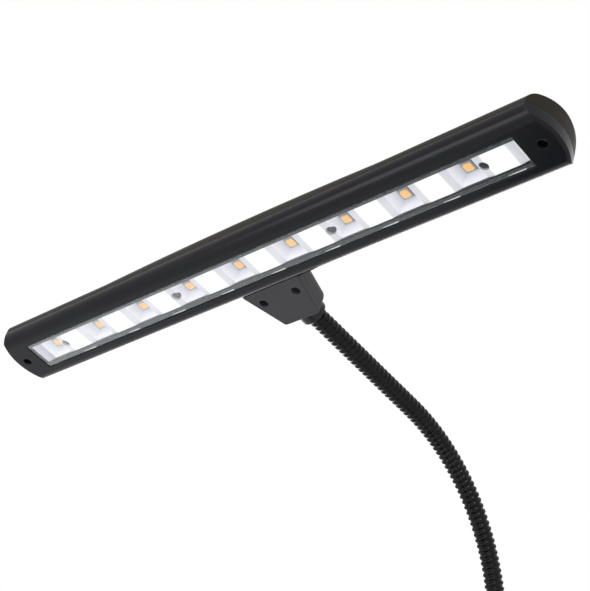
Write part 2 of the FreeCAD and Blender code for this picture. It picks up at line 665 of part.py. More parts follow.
def bracket_hollow():
    """Hollow of the bracket's neck, between the head and the arm."""
    start = HEAD_WIDTH / 2 + SLIP_GAP + BRACKET_WALL
    room = bracket_form(BRACKET_WALL).common(bracket_slab(start, 0, BRACKET_BACK))
    return room.common(bracket_slab(start, BRACKET_FACE_DEPTH + BRACKET_PLATE, BRACKET_BACK))


def bracket_face_form():
    """Bracket's outer form with the edge of its front face broken."""
    form = bracket_form(0)
    rim = [e for e in form.Edges if all(abs(v.Z - BRACKET_FACE_DEPTH) < 0.01 for v in e.Vertexes)]
    return form.makeChamfer(BRACKET_EDGE, rim)


def bracket_front():
    """Front piece of the bracket: flat face, low side walls and two screw wells."""
    split = BRACKET_SPLIT - BRACKET_JOINT_GAP
    form = bracket_face_form()
    plate = form.common(bracket_slab(0, 0, split)).cut(head_room()).cut(bracket_hollow())
    bosses = []
    for x in bracket_screw_xs():
        bosses.append(rod(HEAD_RADIUS + BOSS_WALL, x, BRACKET_SCREW_DISTANCE, BRACKET_FACE_DEPTH, split))
    plate = fuse([plate] + [boss.common(form) for boss in bosses])
    for x in bracket_screw_xs():
        top = BRACKET_FACE_DEPTH + BRACKET_SCREW_SINK
        plate = plate.cut(rod(HEAD_RADIUS + SLIP_GAP, x, BRACKET_SCREW_DISTANCE, 0, top + SCREW_HEAD_HEIGHT))
        plate = plate.cut(rod(SHANK + SCREW_GAP, x, BRACKET_SCREW_DISTANCE, 0, BRACKET_BACK))
    return plate


def bracket_screw_tip():
    """Depth of the tip of a bracket screw."""
    return BRACKET_FACE_DEPTH + BRACKET_SCREW_SINK + SCREW_HEAD_HEIGHT + BRACKET_SCREW_REACH


def bracket_rear():
    """Deep half of the bracket: a hollow neck, and a saddle against the side of the head."""
    slab = bracket_slab(0, BRACKET_SPLIT, BRACKET_BACK)
    body = bracket_form(0).common(slab).cut(head_room()).cut(bracket_hollow())
    form = bracket_form(0)
    bosses = []
    for x in bracket_screw_xs():
        post = rod(BOSS_RADIUS, x, BRACKET_SCREW_DISTANCE, BRACKET_SPLIT, BRACKET_BACK)
        bosses.append(post.common(form))
    for x in hanger_xs():
        start = HEAD_WIDTH / 2 + SLIP_GAP
        bosses.append(rod_y(BOSS_RADIUS, x, BRACKET_AXIS_DEPTH, start, hanger_tip() + BOSS_WALL))
    body = fuse([body] + bosses)
    for x in bracket_screw_xs():
        pilot = rod(SHANK + THREAD_GAP, x, BRACKET_SCREW_DISTANCE, 0, bracket_screw_tip() + SEAT_GAP)
        body = body.cut(pilot)
    shank = FITTING_SHANK_DIAMETER / 2 + SLIP_GAP
    inner = BRACKET_END - 2 * BRACKET_WALL
    body = body.cut(rod_y(shank, 0, BRACKET_AXIS_DEPTH, inner, BRACKET_END + 1))
    for x in hanger_xs():
        body = body.cut(rod_y(SHANK + THREAD_GAP, x, BRACKET_AXIS_DEPTH, 0, hanger_tip() + SEAT_GAP))
    return body.cut(lead_passage(fitting_face()))


def bracket_screws():
    """Two screws that close the bracket."""
    top = BRACKET_FACE_DEPTH + BRACKET_SCREW_SINK
    y = BRACKET_SCREW_DISTANCE
    return Part.makeCompound([screw(x, y, top, BRACKET_SCREW_REACH) for x in bracket_screw_xs()])


def hanger_tip():
    """Distance of the tips of the hanger screws from the head's centre line."""
    return HEAD_WIDTH / 2 + HANGER_SCREW_REACH


def hanger_screws():
    """Two screws from inside the rear shell, through its side, into the bracket."""
    sideways = FreeCAD.Rotation(Vector(1, 0, 0), -90)
    screws = []
    for x in hanger_xs():
        one = screw(0, 0, 0, hanger_tip() - HANGER_SEAT)
        place = Vector(x, HANGER_SEAT - SCREW_HEAD_HEIGHT, BRACKET_AXIS_DEPTH)
        one.Placement = FreeCAD.Placement(place, sideways)
        screws.append(one)
    return Part.makeCompound(screws)


def lead_passage(reach):
    """Hole for the lead through the walls of the bracket and the head."""
    return rod_y(LEAD_RADIUS + SLIP_GAP, 0, BRACKET_AXIS_DEPTH, BOARD_WIDTH / 2, reach)


def fitting_face():
    """Distance of the fitting's inner end from the head's centre line."""
    return BRACKET_END - BRACKET_WALL - FITTING_FLANGE_THICKNESS


def head_lead():
    """Lead from the arm, through the bracket and the side of the rear shell, to the circuit strip."""
    arm_end = BRACKET_END + COLLAR_FLOOR + SEAT_GAP
    return rod_y(LEAD_RADIUS, 0, BRACKET_AXIS_DEPTH, BOARD_WIDTH / 2, arm_end)


def arm_end_fitting():
    """Flanged hollow bolt inside the bracket, screwed into the collar."""
    inner = fitting_face()
    flange_end = inner + FITTING_FLANGE_THICKNESS
    flange = rod_y(FITTING_FLANGE_DIAMETER / 2, 0, BRACKET_AXIS_DEPTH, inner, flange_end)
    shank_end = BRACKET_END + COLLAR_FLOOR
    shank = rod_y(FITTING_SHANK_DIAMETER / 2, 0, BRACKET_AXIS_DEPTH, inner, shank_end)
    return fuse([flange, shank]).cut(rod_y(ARM_BORE / 2, 0, BRACKET_AXIS_DEPTH, 0, 2 * BRACKET_END))


def arm_collar():
    """Round collar under the bracket, over the end of the arm."""
    end = BRACKET_END + COLLAR_LENGTH
    body = rod_y(COLLAR_DIAMETER / 2, 0, BRACKET_AXIS_DEPTH, BRACKET_END, end)
    rims = [e for e in body.Edges if isinstance(e.Curve, Part.Circle)]
    body = body.makeFillet(COLLAR_LENGTH / 7, rims)
    floor = BRACKET_END + COLLAR_FLOOR
    shank = FITTING_SHANK_DIAMETER / 2 + THREAD_GAP
    body = body.cut(rod_y(shank, 0, BRACKET_AXIS_DEPTH, 0, floor))
    return body.cut(rod_y(ARM_RADIUS + THREAD_GAP, 0, BRACKET_AXIS_DEPTH, floor, 2 * BRACKET_END))


def head_placement():
    """Where the head's own frame sits in the row frame."""
    end, direction = arm_point(ARM_LENGTH)
    turn = FreeCAD.Rotation(Vector(1, 0, 0), -HEAD_TILT)
    collar_end = Vector(0, BRACKET_END + COLLAR_LENGTH, BRACKET_AXIS_DEPTH)
    return FreeCAD.Placement(end - turn.multVec(collar_end), turn)


def in_head(shape):
    """Move a shape from the head's own frame to the row frame."""
    placed = shape.copy()
    placed.Placement = head_placement().multiply(placed.Placement)
    return placed


# ---------------------------------------------------------------- flexible arm

def arm_spans():
    """Start and end station of each rigid length of the arm."""
    first = -SLEEVE_SOCKET
    last = ARM_LENGTH + COLLAR_LENGTH - COLLAR_FLOOR - SEAT_GAP
    marks = [first] + list(HINGE_STATIONS) + [last]
    return list(zip(marks, marks[1:]))


def arm_section(index):
    """Rigid length of the arm: a hollow tube with a cup at its start and a ball at its end."""
    start, end = arm_spans()[index]
    body = arm_tube(start, end, ARM_RADIUS)
    if index < len(HINGE_STATIONS):
        body = body.fuse(Part.makeSphere(ARM_RADIUS, arm_point(end)[0]))
    body = body.cut(arm_tube(start - 1, end + ARM_DIAMETER, ARM_BORE / 2))
    if index > 0:
        body = body.cut(Part.makeSphere(ARM_RADIUS + HINGE_GAP, arm_point(start)[0]))
    return body


def arm_lead(index):
    """Lead inside one rigid length of the arm, clear of the hinges."""
    start, end = arm_spans()[index]
    clear = ARM_RADIUS + 3 * HINGE_GAP
    if index > 0:
        start += clear
    if index < len(HINGE_STATIONS):
        end -= clear
    return arm_tube(start, end, LEAD_RADIUS)


# ---------------------------------------------------------------- foot

def foot_form(inset, bottom):
    """Domed disc of the foot, made smaller by `inset`, from a height up."""
    round_radius = FOOT_EDGE_ROUND - inset
    crown = FOOT_CROWN - inset
    crown_z = FOOT_HEIGHT - FOOT_CROWN
    swing = math.atan2(EDGE_CENTRE_Z - crown_z, EDGE_CENTRE_R)

    def on_round(angle):
        x = EDGE_CENTRE_R + round_radius * math.cos(angle)
        return Vector(x, 0, EDGE_CENTRE_Z + round_radius * math.sin(angle))

    def on_crown(angle):
        return Vector(crown * math.cos(angle), 0, crown_z + crown * math.sin(angle))

    base = Vector(0, 0, bottom)
    foot = Vector(EDGE_CENTRE_R + round_radius, 0, bottom)
    edges = [
        line(base, foot),
        line(foot, on_round(0)),
        arc(on_round(0), on_round(swing / 2), on_round(swing)),
        arc(on_round(swing), on_crown((swing + math.pi / 2) / 2), on_crown(math.pi / 2)),
        line(on_crown(math.pi / 2), base),
    ]
    return Part.Face(Part.Wire(edges)).revolve(Vector(0, 0, 0), Vector(0, 0, 1), 360)


def dome_height(distance):
    """Height of the top of the dome at a distance from its middle."""
    return FOOT_HEIGHT - FOOT_CROWN + math.sqrt(FOOT_CROWN ** 2 - distance ** 2)


def foot_screw_places():
    """Where the foot's four screws stand."""
    turns = [math.radians(45 + 90 * i) for i in range(4)]
    reach = FOOT_RADIUS - FOOT_SCREW_INSET
    return [(reach * math.cos(a), reach * math.sin(a)) for a in turns]


def base_cover():
    """Domed cover with screw bosses, and holes for the arm, the button and the supply socket."""
    cover = foot_form(0, FOOT_LIFT).cut(foot_form(FOOT_WALL, FOOT_LIFT - 1))
    inside = foot_form(FOOT_WALL / 2, FOOT_LIFT)
    boss_radius = FOOT_SCREW_SHANK / 2 + BOSS_WALL
    bosses = []
    for x, y in foot_screw_places():
        bosses.append(rod(boss_radius, x, y, PLATE_TOP, FOOT_HEIGHT).common(inside))
    cover = fuse([cover] + bosses)
    for x, y in foot_screw_places():
        pilot_top = PLATE_BOTTOM + FOOT_SCREW_REACH + SEAT_GAP
        cover = cover.cut(rod(FOOT_SCREW_SHANK / 2 + THREAD_GAP, x, y, 0, pilot_top))
    cover = cover.cut(rod(SLEEVE_DIAMETER / 2 + SCREW_GAP, 0, ARM_Y, WEIGHT_TOP, SLEEVE_TOP))
    cover = cover.cut(rod(BUTTON_DIAMETER / 2 + BUTTON_GAP, 0, BUTTON_Y, WEIGHT_TOP, SLEEVE_TOP))
    nose = SOCKET_NOSE_DIAMETER / 2 + SCREW_GAP
    return cover.cut(rod_y(nose, 0, SOCKET_AXIS, FOOT_RADIUS - 2 * FOOT_WALL, FOOT_RADIUS + 1))


def base_pad():
    """Soft pad under the foot, with holes over the screws."""
    pad = rod(FOOT_RADIUS - FOOT_WALL - 2 * SLIP_GAP, 0, 0, 0, PAD_THICKNESS)
    radius = FOOT_SCREW_HEAD / 2 + SCREW_GAP
    return pad.cut([rod(radius, x, y, -1, PLATE_TOP) for x, y in foot_screw_places()])


def base_plate():
    """Steel plate that closes the foot."""
    plate = rod(FOOT_RADIUS - FOOT_WALL - SLIP_GAP, 0, 0, PLATE_BOTTOM, PLATE_TOP)
    radius = FOOT_SCREW_SHANK / 2 + SCREW_GAP
    return plate.cut([rod(radius, x, y, 0, PLATE_TOP + 1) for x, y in foot_screw_places()])


def base_weight():
    """Cast iron disc that keeps the lamp standing, cut out for the arm's nut and the socket."""
    disc = rod(FOOT_RADIUS - WEIGHT_INSET, 0, 0, WEIGHT_BOTTOM, WEIGHT_TOP)
    disc = disc.cut(rod(FOOT_SHANK_DIAMETER / 2 + SCREW_GAP, 0, ARM_Y, 0, FOOT_HEIGHT))
    nut_room = NUT_ACROSS_FLATS / math.sqrt(3) + 2 * SCREW_GAP
    disc = disc.cut(rod(nut_room, 0, ARM_Y, 0, NUT_TOP))
    half = SOCKET_WIDTH / 2 + 2 * SCREW_GAP
    disc = disc.cut(box(-half, half, SOCKET_BACK - LEAD_ROOM, FOOT_RADIUS, 0, FOOT_HEIGHT))
    for x in spacer_xs():
        depth = CONTROL_SCREW_REACH + SEAT_GAP
        disc = disc.cut(rod(SHANK + THREAD_GAP, x, BUTTON_Y, WEIGHT_TOP - depth, FOOT_HEIGHT))
    return disc


def base_screws():
    """Four screws that hold the plate to the cover, driven from below."""
    screws = []
    for x, y in foot_screw_places():
        top = PLATE_BOTTOM - FOOT_SCREW_HEAD_HEIGHT
        head = FOOT_SCREW_HEAD / 2
        shank = FOOT_SCREW_SHANK / 2
        screws.append(screw(x, y, top, FOOT_SCREW_REACH, head, FOOT_SCREW_HEAD_HEIGHT, shank))
    return Part.makeCompound(screws)


def arm_foot_sleeve():
    """Sleeve that holds the arm upright, with a threaded shank through the weight."""
    sleeve = rod(SLEEVE_DIAMETER / 2, 0, ARM_Y, WEIGHT_TOP, SLEEVE_TOP)
    rim = [e for e in sleeve.Edges if isinstance(e.Curve, Part.Circle) and e.Curve.Center.z > FOOT_HEIGHT]
    sleeve = sleeve.makeFillet(SLEEVE_DIAMETER / 12, rim)
    shank = rod(FOOT_SHANK_DIAMETER / 2, 0, ARM_Y, SHANK_BOTTOM, FOOT_HEIGHT)
    body = fuse([sleeve, shank])
    body = body.cut(rod(ARM_RADIUS + THREAD_GAP, 0, ARM_Y, SLEEVE_TOP - SLEEVE_SOCKET, SLEEVE_TOP + 1))
    body = body.cut(rod(ARM_BORE / 2, 0, ARM_Y, LEAD_HEIGHT - ARM_BORE, SLEEVE_TOP))
    half = LEAD_RADIUS + SCREW_GAP
    top = LEAD_HEIGHT + LEAD_BEND + LEAD_RADIUS
    return body.cut(box(-half, half, ARM_Y - SLEEVE_DIAMETER, ARM_Y, LEAD_HEIGHT - half, top))


def arm_foot_nut():
    """Hexagon nut on the sleeve's shank."""
    radius = NUT_ACROSS_FLATS / math.sqrt(3)
    turns = [math.radians(60 * i) for i in range(7)]
    points = [Vector(radius * math.cos(a), ARM_Y + radius * math.sin(a), SHANK_BOTTOM) for a in turns]
    nut = Part.Face(Part.makePolygon(points)).extrude(Vector(0, 0, NUT_HEIGHT))
    return nut.cut(rod(FOOT_SHANK_DIAMETER / 2 + THREAD_GAP, 0, ARM_Y, 0, FOOT_HEIGHT))


# ---------------------------------------------------------------- switch and supply

def spacer_xs():
    """Where the control board's spacers stand."""
    return (-SPACER_X, SPACER_X)


def flange_bottom():
    """Height of the underside of the button's flange at rest."""
    edge = abs(BUTTON_Y) + BUTTON_DIAMETER / 2 + BUTTON_FLANGE
    return dome_height(edge) - FOOT_WALL - BUTTON_GAP - BUTTON_FLANGE_THICKNESS


def switch_top():
    """Height of the top of the switch body, under the pressed button."""
    return flange_bottom() - BUTTON_TRAVEL - SWITCH_ROOM


def switch_button():
    """Round push button with a dished top and a flange that keeps it in the cover."""
    radius = BUTTON_DIAMETER / 2
    top = dome_height(abs(BUTTON_Y)) + BUTTON_PROUD
    bottom = flange_bottom()
    cap = rod(radius, 0, BUTTON_Y, bottom, top)
    rim = [e for e in cap.Edges if isinstance(e.Curve, Part.Circle) and e.Curve.Center.z > top - 0.1]
    cap = cap.makeFillet(BUTTON_DISH, rim)
    flange = rod(radius + BUTTON_FLANGE, 0, BUTTON_Y, bottom, bottom + BUTTON_FLANGE_THICKNESS)
    dish_edge = radius - 2 * BUTTON_DISH
    dish_radius = (dish_edge ** 2 + BUTTON_DISH ** 2) / (2 * BUTTON_DISH)
    dish = Part.makeSphere(dish_radius, Vector(0, BUTTON_Y, top - BUTTON_DISH + dish_radius))
    roof = top - BUTTON_DISH - BUTTON_WALL
    hollow = rod(radius - BUTTON_WALL, 0, BUTTON_Y, bottom - 1, roof)
    stem = rod(PLUNGER_DIAMETER / 2, 0, BUTTON_Y, bottom, roof + BUTTON_WALL / 2)
    return fuse([fuse([cap, flange]).cut(dish).cut(hollow), stem])


def switch_plunger():
    """Plunger of the switch, under the button's stem."""
    return rod(PLUNGER_DIAMETER / 2, 0, BUTTON_Y, switch_top() - PLUNGER_SEAT, flange_bottom())


def switch_body():
    """Square body of the push switch on the control board."""
    half = SWITCH_SIZE / 2
    top = switch_top()
    body = box(-half, half, BUTTON_Y - half, BUTTON_Y + half, BOARD_TOP, top)
    floor = top - PLUNGER_SEAT - BUTTON_TRAVEL - SEAT_GAP
    return body.cut(rod(PLUNGER_DIAMETER / 2 + SLIP_GAP, 0, BUTTON_Y, floor, top + 1))


def control_board():
    """Circuit board with the driver, on two spacers."""
    half_x = CONTROL_LENGTH / 2
    half_y = CONTROL_WIDTH / 2
    board = box(-half_x, half_x, BUTTON_Y - half_y, BUTTON_Y + half_y, BOARD_BOTTOM, BOARD_TOP)
    return board.cut([rod(SHANK + SCREW_GAP, x, BUTTON_Y, 0, FOOT_HEIGHT) for x in spacer_xs()])


def board_spacers():
    """Two spacers between the weight and the control board."""
    spacers = []
    for x in spacer_xs():
        body = rod(SPACER_DIAMETER / 2, x, BUTTON_Y, WEIGHT_TOP, BOARD_BOTTOM)
        spacers.append(body.cut(rod(SHANK + SCREW_GAP, x, BUTTON_Y, 0, FOOT_HEIGHT)))
    return Part.makeCompound(spacers)


def control_screws():
    """Two screws that hold the control board, heads up."""
    upside_down = FreeCAD.Rotation(Vector(1, 0, 0), 180)
    screws = []
    for x in spacer_xs():
        one = screw(0, 0, 0, BOARD_TOP - WEIGHT_TOP + CONTROL_SCREW_REACH)
        place = FreeCAD.Placement(Vector(x, BUTTON_Y, BOARD_TOP + SCREW_HEAD_HEIGHT), upside_down)
        one.Placement = place
        screws.append(one)
    return Part.makeCompound(screws)


def supply_socket():
    """Supply inlet at the back of the foot, with its contact pin."""
    half = SOCKET_WIDTH / 2
    half_height = SOCKET_HEIGHT / 2
    shoulder = SOCKET_FACE - SOCKET_NOSE_LENGTH
    block = box(-half, half, SOCKET_BACK, shoulder, SOCKET_AXIS - half_height, SOCKET_AXIS + half_height)
    nose = rod_y(SOCKET_NOSE_DIAMETER / 2, 0, SOCKET_AXIS, shoulder - 1, SOCKET_FACE)
    body = fuse([block, nose])
    floor = SOCKET_FACE - SOCKET_BORE_DEPTH
    body = body.cut(rod_y(SOCKET_BORE / 2, 0, SOCKET_AXIS, floor, SOCKET_FACE + 1))
    pin = rod_y(SOCKET_PIN / 2, 0, SOCKET_AXIS, floor - 1, SOCKET_FACE - SOCKET_PIN_SINK)
    return fuse([body, pin])


def supply_lead():
    """Lead from the supply socket, up behind it and past the arm's foot, to the control board."""
    turn_y = SOCKET_BACK - LEAD_ROOM / 2
    board_edge = BUTTON_Y + CONTROL_WIDTH / 2
    points = [
        Vector(0, SOCKET_BACK, SOCKET_AXIS),
        Vector(0, turn_y, SOCKET_AXIS),
        Vector(0, turn_y, LEAD_HEIGHT),
        Vector(LEAD_SIDE, turn_y, LEAD_HEIGHT),
        Vector(LEAD_SIDE, board_edge, LEAD_HEIGHT),
    ]
    return wire_solid(points, LEAD_RADIUS, LEAD_BEND)


def foot_lead():
    """Lead from the control board into the arm's sleeve and up to the arm."""
    points = [
        Vector(0, BUTTON_Y + CONTROL_WIDTH / 2, LEAD_HEIGHT),
        Vector(0, ARM_Y, LEAD_HEIGHT),
        Vector(0, ARM_Y, SLEEVE_TOP - SLEEVE_SOCKET),
    ]
    return wire_solid(points, LEAD_RADIUS, LEAD_BEND)


# ---------------------------------------------------------------- all pieces

HEAD_PIECES = (
    front_bezel,
    rear_housing,
    window_lens,
    lens_frame,
    reflector_strip,
    led_board,
    heat_spreader,
    led_packages,
    led_phosphors,
    reflector_screws,
    end_screws,
    bracket_front,
    bracket_rear,
    bracket_screws,
    hanger_screws,
    head_lead,
    arm_end_fitting,
    arm_collar,
)
FOOT_PIECES = (
    base_cover,
    base_pad,
    base_plate,
    base_weight,
    base_screws,
    arm_foot_sleeve,
    arm_foot_nut,
    switch_button,
    switch_plunger,
    switch_body,
    control_board,
    board_spacers,
    control_screws,
    supply_socket,
    supply_lead,
    foot_lead,
)


def all_nodes():
    """Every sub-part by name, in the row frame."""
    nodes = {make.__name__: in_head(make()) for make in HEAD_PIECES}
    for index in range(len(arm_spans())):
        nodes["arm_section_%d" % (index + 1)] = arm_section(index)
        nodes["arm_lead_%d" % (index + 1)] = arm_lead(index)
    nodes.update({make.__name__: make() for make in FOOT_PIECES})
    return nodes


os.makedirs("parts", exist_ok=True)
for name, shape in all_nodes().items():
    shape.exportStep("parts/%s.step" % name)
    print(name, "solids", len(shape.Solids), "valid", shape.isValid(), "volume", round(shape.Volume, 1))

for station in HINGE_STATIONS:
    print("hinge at", round(station, 3), "point", arm_point(station)[0])
print("head frame", head_placement())
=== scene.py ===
# %% [markdown]
# # A piano lamp
# The lamp is a slim bar with a row of lights behind a clear window. A tapered bracket holds the
# bar on a flexible arm, and the arm stands in a heavy round foot with a push switch. The CAD model
# already has every solid in its place, so this lesson loads it as a fixed frame and adds what CAD
# can't give: finishes, the ribs of the arm, a few small bright details, light and a camera.

# %% Load the fixed frame
import json
import math

import bpy
from mathutils import Matrix, Vector


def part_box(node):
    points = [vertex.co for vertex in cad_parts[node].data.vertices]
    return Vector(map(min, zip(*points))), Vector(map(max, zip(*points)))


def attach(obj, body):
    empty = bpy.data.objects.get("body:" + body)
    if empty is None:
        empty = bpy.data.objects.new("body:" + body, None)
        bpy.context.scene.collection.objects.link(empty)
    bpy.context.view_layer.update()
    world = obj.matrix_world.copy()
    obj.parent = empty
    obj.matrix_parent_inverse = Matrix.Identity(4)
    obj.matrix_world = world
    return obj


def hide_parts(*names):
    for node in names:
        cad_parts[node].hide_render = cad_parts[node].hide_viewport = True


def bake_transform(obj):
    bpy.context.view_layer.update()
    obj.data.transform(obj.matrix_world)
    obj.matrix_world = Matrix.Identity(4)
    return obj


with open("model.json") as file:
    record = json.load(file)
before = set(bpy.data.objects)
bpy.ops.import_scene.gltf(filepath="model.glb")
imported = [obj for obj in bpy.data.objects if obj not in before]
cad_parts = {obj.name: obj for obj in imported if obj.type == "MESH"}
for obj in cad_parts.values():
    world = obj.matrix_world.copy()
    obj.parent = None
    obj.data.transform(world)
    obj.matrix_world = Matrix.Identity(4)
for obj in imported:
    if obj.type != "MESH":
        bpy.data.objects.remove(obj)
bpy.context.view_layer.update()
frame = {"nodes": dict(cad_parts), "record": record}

# %% [markdown]
# ## Where things are
# The arm rises straight from the foot's sleeve, bends forward on one arc, and runs straight into a
# collar under the bracket. The head hangs at the arm's end, tilted so that its light falls forward.
# Both can be described by a few lengths. We read the sleeve's place from the frame and work out
# the rest, so that a rib or a painted glint is never placed by eye.

# %% The arm's centre line
MM = 0.001
HEAD_TILT = math.radians(21.9)
ARM_RISE = 190.0 * MM
ARM_BEND = 90.0 * MM
ARM_REACH = 68.0 * MM
ARM_TURN = math.radians(90.0) - HEAD_TILT
ARC_LENGTH = ARM_BEND * ARM_TURN
ARM_LENGTH = ARM_RISE + ARC_LENGTH + ARM_REACH
sleeve_low, sleeve_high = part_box("arm_foot_sleeve")
ARM_FOOT = Vector((0, (sleeve_low.y + sleeve_high.y) / 2, sleeve_high.z))
BEND_CENTRE = ARM_FOOT + Vector((0, -ARM_BEND, ARM_RISE))


def arm_point(station):
    """Point and direction of the arm's centre line, `station` metres above the sleeve."""
    if station <= ARM_RISE:
        return ARM_FOOT + Vector((0, 0, station)), Vector((0, 0, 1))
    angle = min((station - ARM_RISE) / ARM_BEND, ARM_TURN)
    spoke = Vector((0, math.cos(angle), math.sin(angle)))
    direction = Vector((0, -math.sin(angle), math.cos(angle)))
    beyond = max(0.0, station - ARM_RISE - ARC_LENGTH)
    return BEND_CENTRE + spoke * ARM_BEND + direction * beyond, direction


print("arm", round(ARM_LENGTH, 4), "m, ends at", arm_point(ARM_LENGTH)[0])

# %% The head's own frame
# In it x runs along the bar, y towards the arm and z from the front face to the back.
COLLAR_END = Vector((0, 40.5, 8.4)) * MM
head_turn = Matrix.Rotation(-HEAD_TILT, 3, "X")
HEAD_ORIGIN = arm_point(ARM_LENGTH)[0] - head_turn @ COLLAR_END


def in_head(x, y, z):
    """Point of the row frame from millimetres in the head's own frame."""
    return HEAD_ORIGIN + head_turn @ (Vector((x, y, z)) * MM)


print("head's origin", HEAD_ORIGIN)

# %% [markdown]
# ## Camera
# A lamp head this flat shows its lights only from below. The camera stands low, in front and to
# the right, and looks up along the bar with a long lens, so that both ends stay in proportion.

# %% Camera
EYE_FROM_HEAD = Vector((0.40465, -0.39844, -0.27284))
LOOK = Vector((-0.62516, 0.65948, 0.41745)).normalized()
LEVEL_RIGHT = Vector((0.72574, 0.68797, 0.0)).normalized()
camera_data = bpy.data.cameras.new("low_view")
camera_data.lens = 93.12
camera_data.sensor_width = 36.0
camera_data.clip_start = 0.01
camera = bpy.data.objects.new("low_view", camera_data)
bpy.context.scene.collection.objects.link(camera)
eye = HEAD_ORIGIN + EYE_FROM_HEAD
axes = Matrix((LEVEL_RIGHT, LEVEL_RIGHT.cross(LOOK), -LOOK)).transposed().to_4x4()
camera.matrix_world = Matrix.Translation(eye) @ axes
bpy.context.scene.camera = camera
print("camera at", eye)

# %% [markdown]
# ## Node helpers
# A finish on a real product is never one flat colour. Moulded plastic has a fine grain, its tone
# drifts a little, its edges are polished by handling, and dust settles on top. Each of these is
# one effect that many materials share, so each becomes a node group that is built once. A group
# gives out only masks, colours, values and normals. The shader stays in the material.

# %% Helpers for node trees
def new_node(tree, kind, **settings):
    """A node with its settings."""
    node = tree.nodes.new(kind)
    for name, value in settings.items():
        setattr(node, name, value)
    return node


def feed(tree, socket, source):
    """Give an input either a link or a plain value."""
    if isinstance(source, bpy.types.NodeSocket):
        tree.links.new(source, socket)
    else:
        socket.default_value = source


def calculate(tree, operation, first, second=0.0, third=None, clamp=False):
    """Result of one sum on two or three values."""
    node = new_node(tree, "ShaderNodeMath", operation=operation, use_clamp=clamp)
    feed(tree, node.inputs[0], first)
    feed(tree, node.inputs[1], second)
    if third is not None:
        feed(tree, node.inputs[2], third)
    return node.outputs[0]


def spread(tree, value, low, high, to_low=0.0, to_high=1.0):
    """A value moved from one range to another, and held inside it."""
    node = new_node(tree, "ShaderNodeMapRange")
    for socket, number in zip(list(node.inputs)[:5], (value, low, high, to_low, to_high)):
        feed(tree, socket, number)
    return node.outputs[0]


def noise(tree, place, scale, detail=2.0):
    """Noise between 0 and 1."""
    node = new_node(tree, "ShaderNodeTexNoise")
    feed(tree, node.inputs["Vector"], place)
    feed(tree, node.inputs["Scale"], scale)
    node.inputs["Detail"].default_value = detail
    return node.outputs["Fac"]


def blend_colours(tree, factor, first, second):
    """Colour between two colours."""
    node = new_node(tree, "ShaderNodeMix", data_type="RGBA")
    feed(tree, node.inputs[0], factor)
    feed(tree, node.inputs[6], first)
    feed(tree, node.inputs[7], second)
    return node.outputs[2]


def new_group(name, inputs, outputs):
    """An empty node group with named sockets."""
    group = bpy.data.node_groups.new(name, "ShaderNodeTree")
    for label, kind, value in inputs:
        socket = group.interface.new_socket(
            name=label, in_out="INPUT", socket_type="NodeSocket" + kind)
        socket.default_value = value
    for label, kind in outputs:
        group.interface.new_socket(name=label, in_out="OUTPUT", socket_type="NodeSocket" + kind)
    return group, group.nodes.new("NodeGroupInput").outputs, group.nodes.new("NodeGroupOutput").inputs


def place_group(tree, group, **values):
    """A group in a material, with its own values."""
    node = new_node(tree, "ShaderNodeGroup", node_tree=group)
    for label, value in values.items():
        feed(tree, node.inputs[label.replace("_", " ").capitalize()], value)
    return node.outputs


print("helpers ready")

# %% [markdown]
# ### Moulded grain
# A mould's steel is spark-eroded, and the plastic copies its grain. Two noises do it: a fine one
# for the height of the grain, and a broad one that lets the tone and the gloss drift.

# %% Group: moulded grain
grain_group, given, result = new_group(
    "Moulded grain",
    [
        ("Colour", "Color", (0.02, 0.02, 0.02, 1)),
        ("Tone", "Float", 0.1),
        ("Grain", "Float", 2500.0),
        ("Drift", "Float", 40.0),
        ("Roughness", "Float", 0.4),
        ("Roughness spread", "Float", 0.08),
    ],
    [("Colour", "Color"), ("Roughness", "Float"), ("Height", "Float")],
)
place = new_node(grain_group, "ShaderNodeTexCoord").outputs["Object"]
broad = noise(grain_group, place, given["Drift"], 4.0)
fine = noise(grain_group, place, given["Grain"], 2.0)
centred = calculate(grain_group, "SUBTRACT", broad, 0.5)
swing = calculate(grain_group, "MULTIPLY", centred, given["Tone"])
tinted = new_node(grain_group, "ShaderNodeVectorMath", operation="SCALE")
feed(grain_group, tinted.inputs[0], given["Colour"])
feed(grain_group, tinted.inputs["Scale"], calculate(grain_group, "MULTIPLY_ADD", swing, 4.0, 1.0))
feed(grain_group, result["Colour"], tinted.outputs[0])
mixed = calculate(grain_group, "SUBTRACT", calculate(grain_group, "ADD", broad, fine), 1.0)
drift = calculate(grain_group, "MULTIPLY", mixed, given["Roughness spread"])
rough = calculate(grain_group, "ADD", given["Roughness"], drift, clamp=True)
feed(grain_group, result["Roughness"], rough)
feed(grain_group, result["Height"], fine)
print("built", grain_group.name)

# %% [markdown]
# ### Edge wear
# Hands and cloths polish the edges first. Blender's Bevel node gives the normal that a softly
# rounded edge would have. Where it differs from the true normal there is an edge, so the same node
# gives both a mask for the wear and a normal that catches a thin line of light.

# %% Group: edge wear
wear_group, given, result = new_group(
    "Edge wear",
    [("Reach", "Float", 0.0004), ("Amount", "Float", 0.5), ("Patch", "Float", 350.0)],
    [("Mask", "Float"), ("Normal", "Vector")],
)
rounded = new_node(wear_group, "ShaderNodeBevel", samples=4)
feed(wear_group, rounded.inputs["Radius"], given["Reach"])
true_normal = new_node(wear_group, "ShaderNodeNewGeometry").outputs["Normal"]
closeness = new_node(wear_group, "ShaderNodeVectorMath", operation="DOT_PRODUCT")
feed(wear_group, closeness.inputs[0], rounded.outputs[0])
feed(wear_group, closeness.inputs[1], true_normal)
edge = spread(wear_group, closeness.outputs["Value"], 0.99, 0.85)
place = new_node(wear_group, "ShaderNodeTexCoord").outputs["Object"]
patches = spread(wear_group, noise(wear_group, place, given["Patch"], 4.0), 0.38, 0.62)
worn = calculate(wear_group, "MULTIPLY", calculate(wear_group, "MULTIPLY", edge, patches), given["Amount"])
feed(wear_group, result["Mask"], worn)
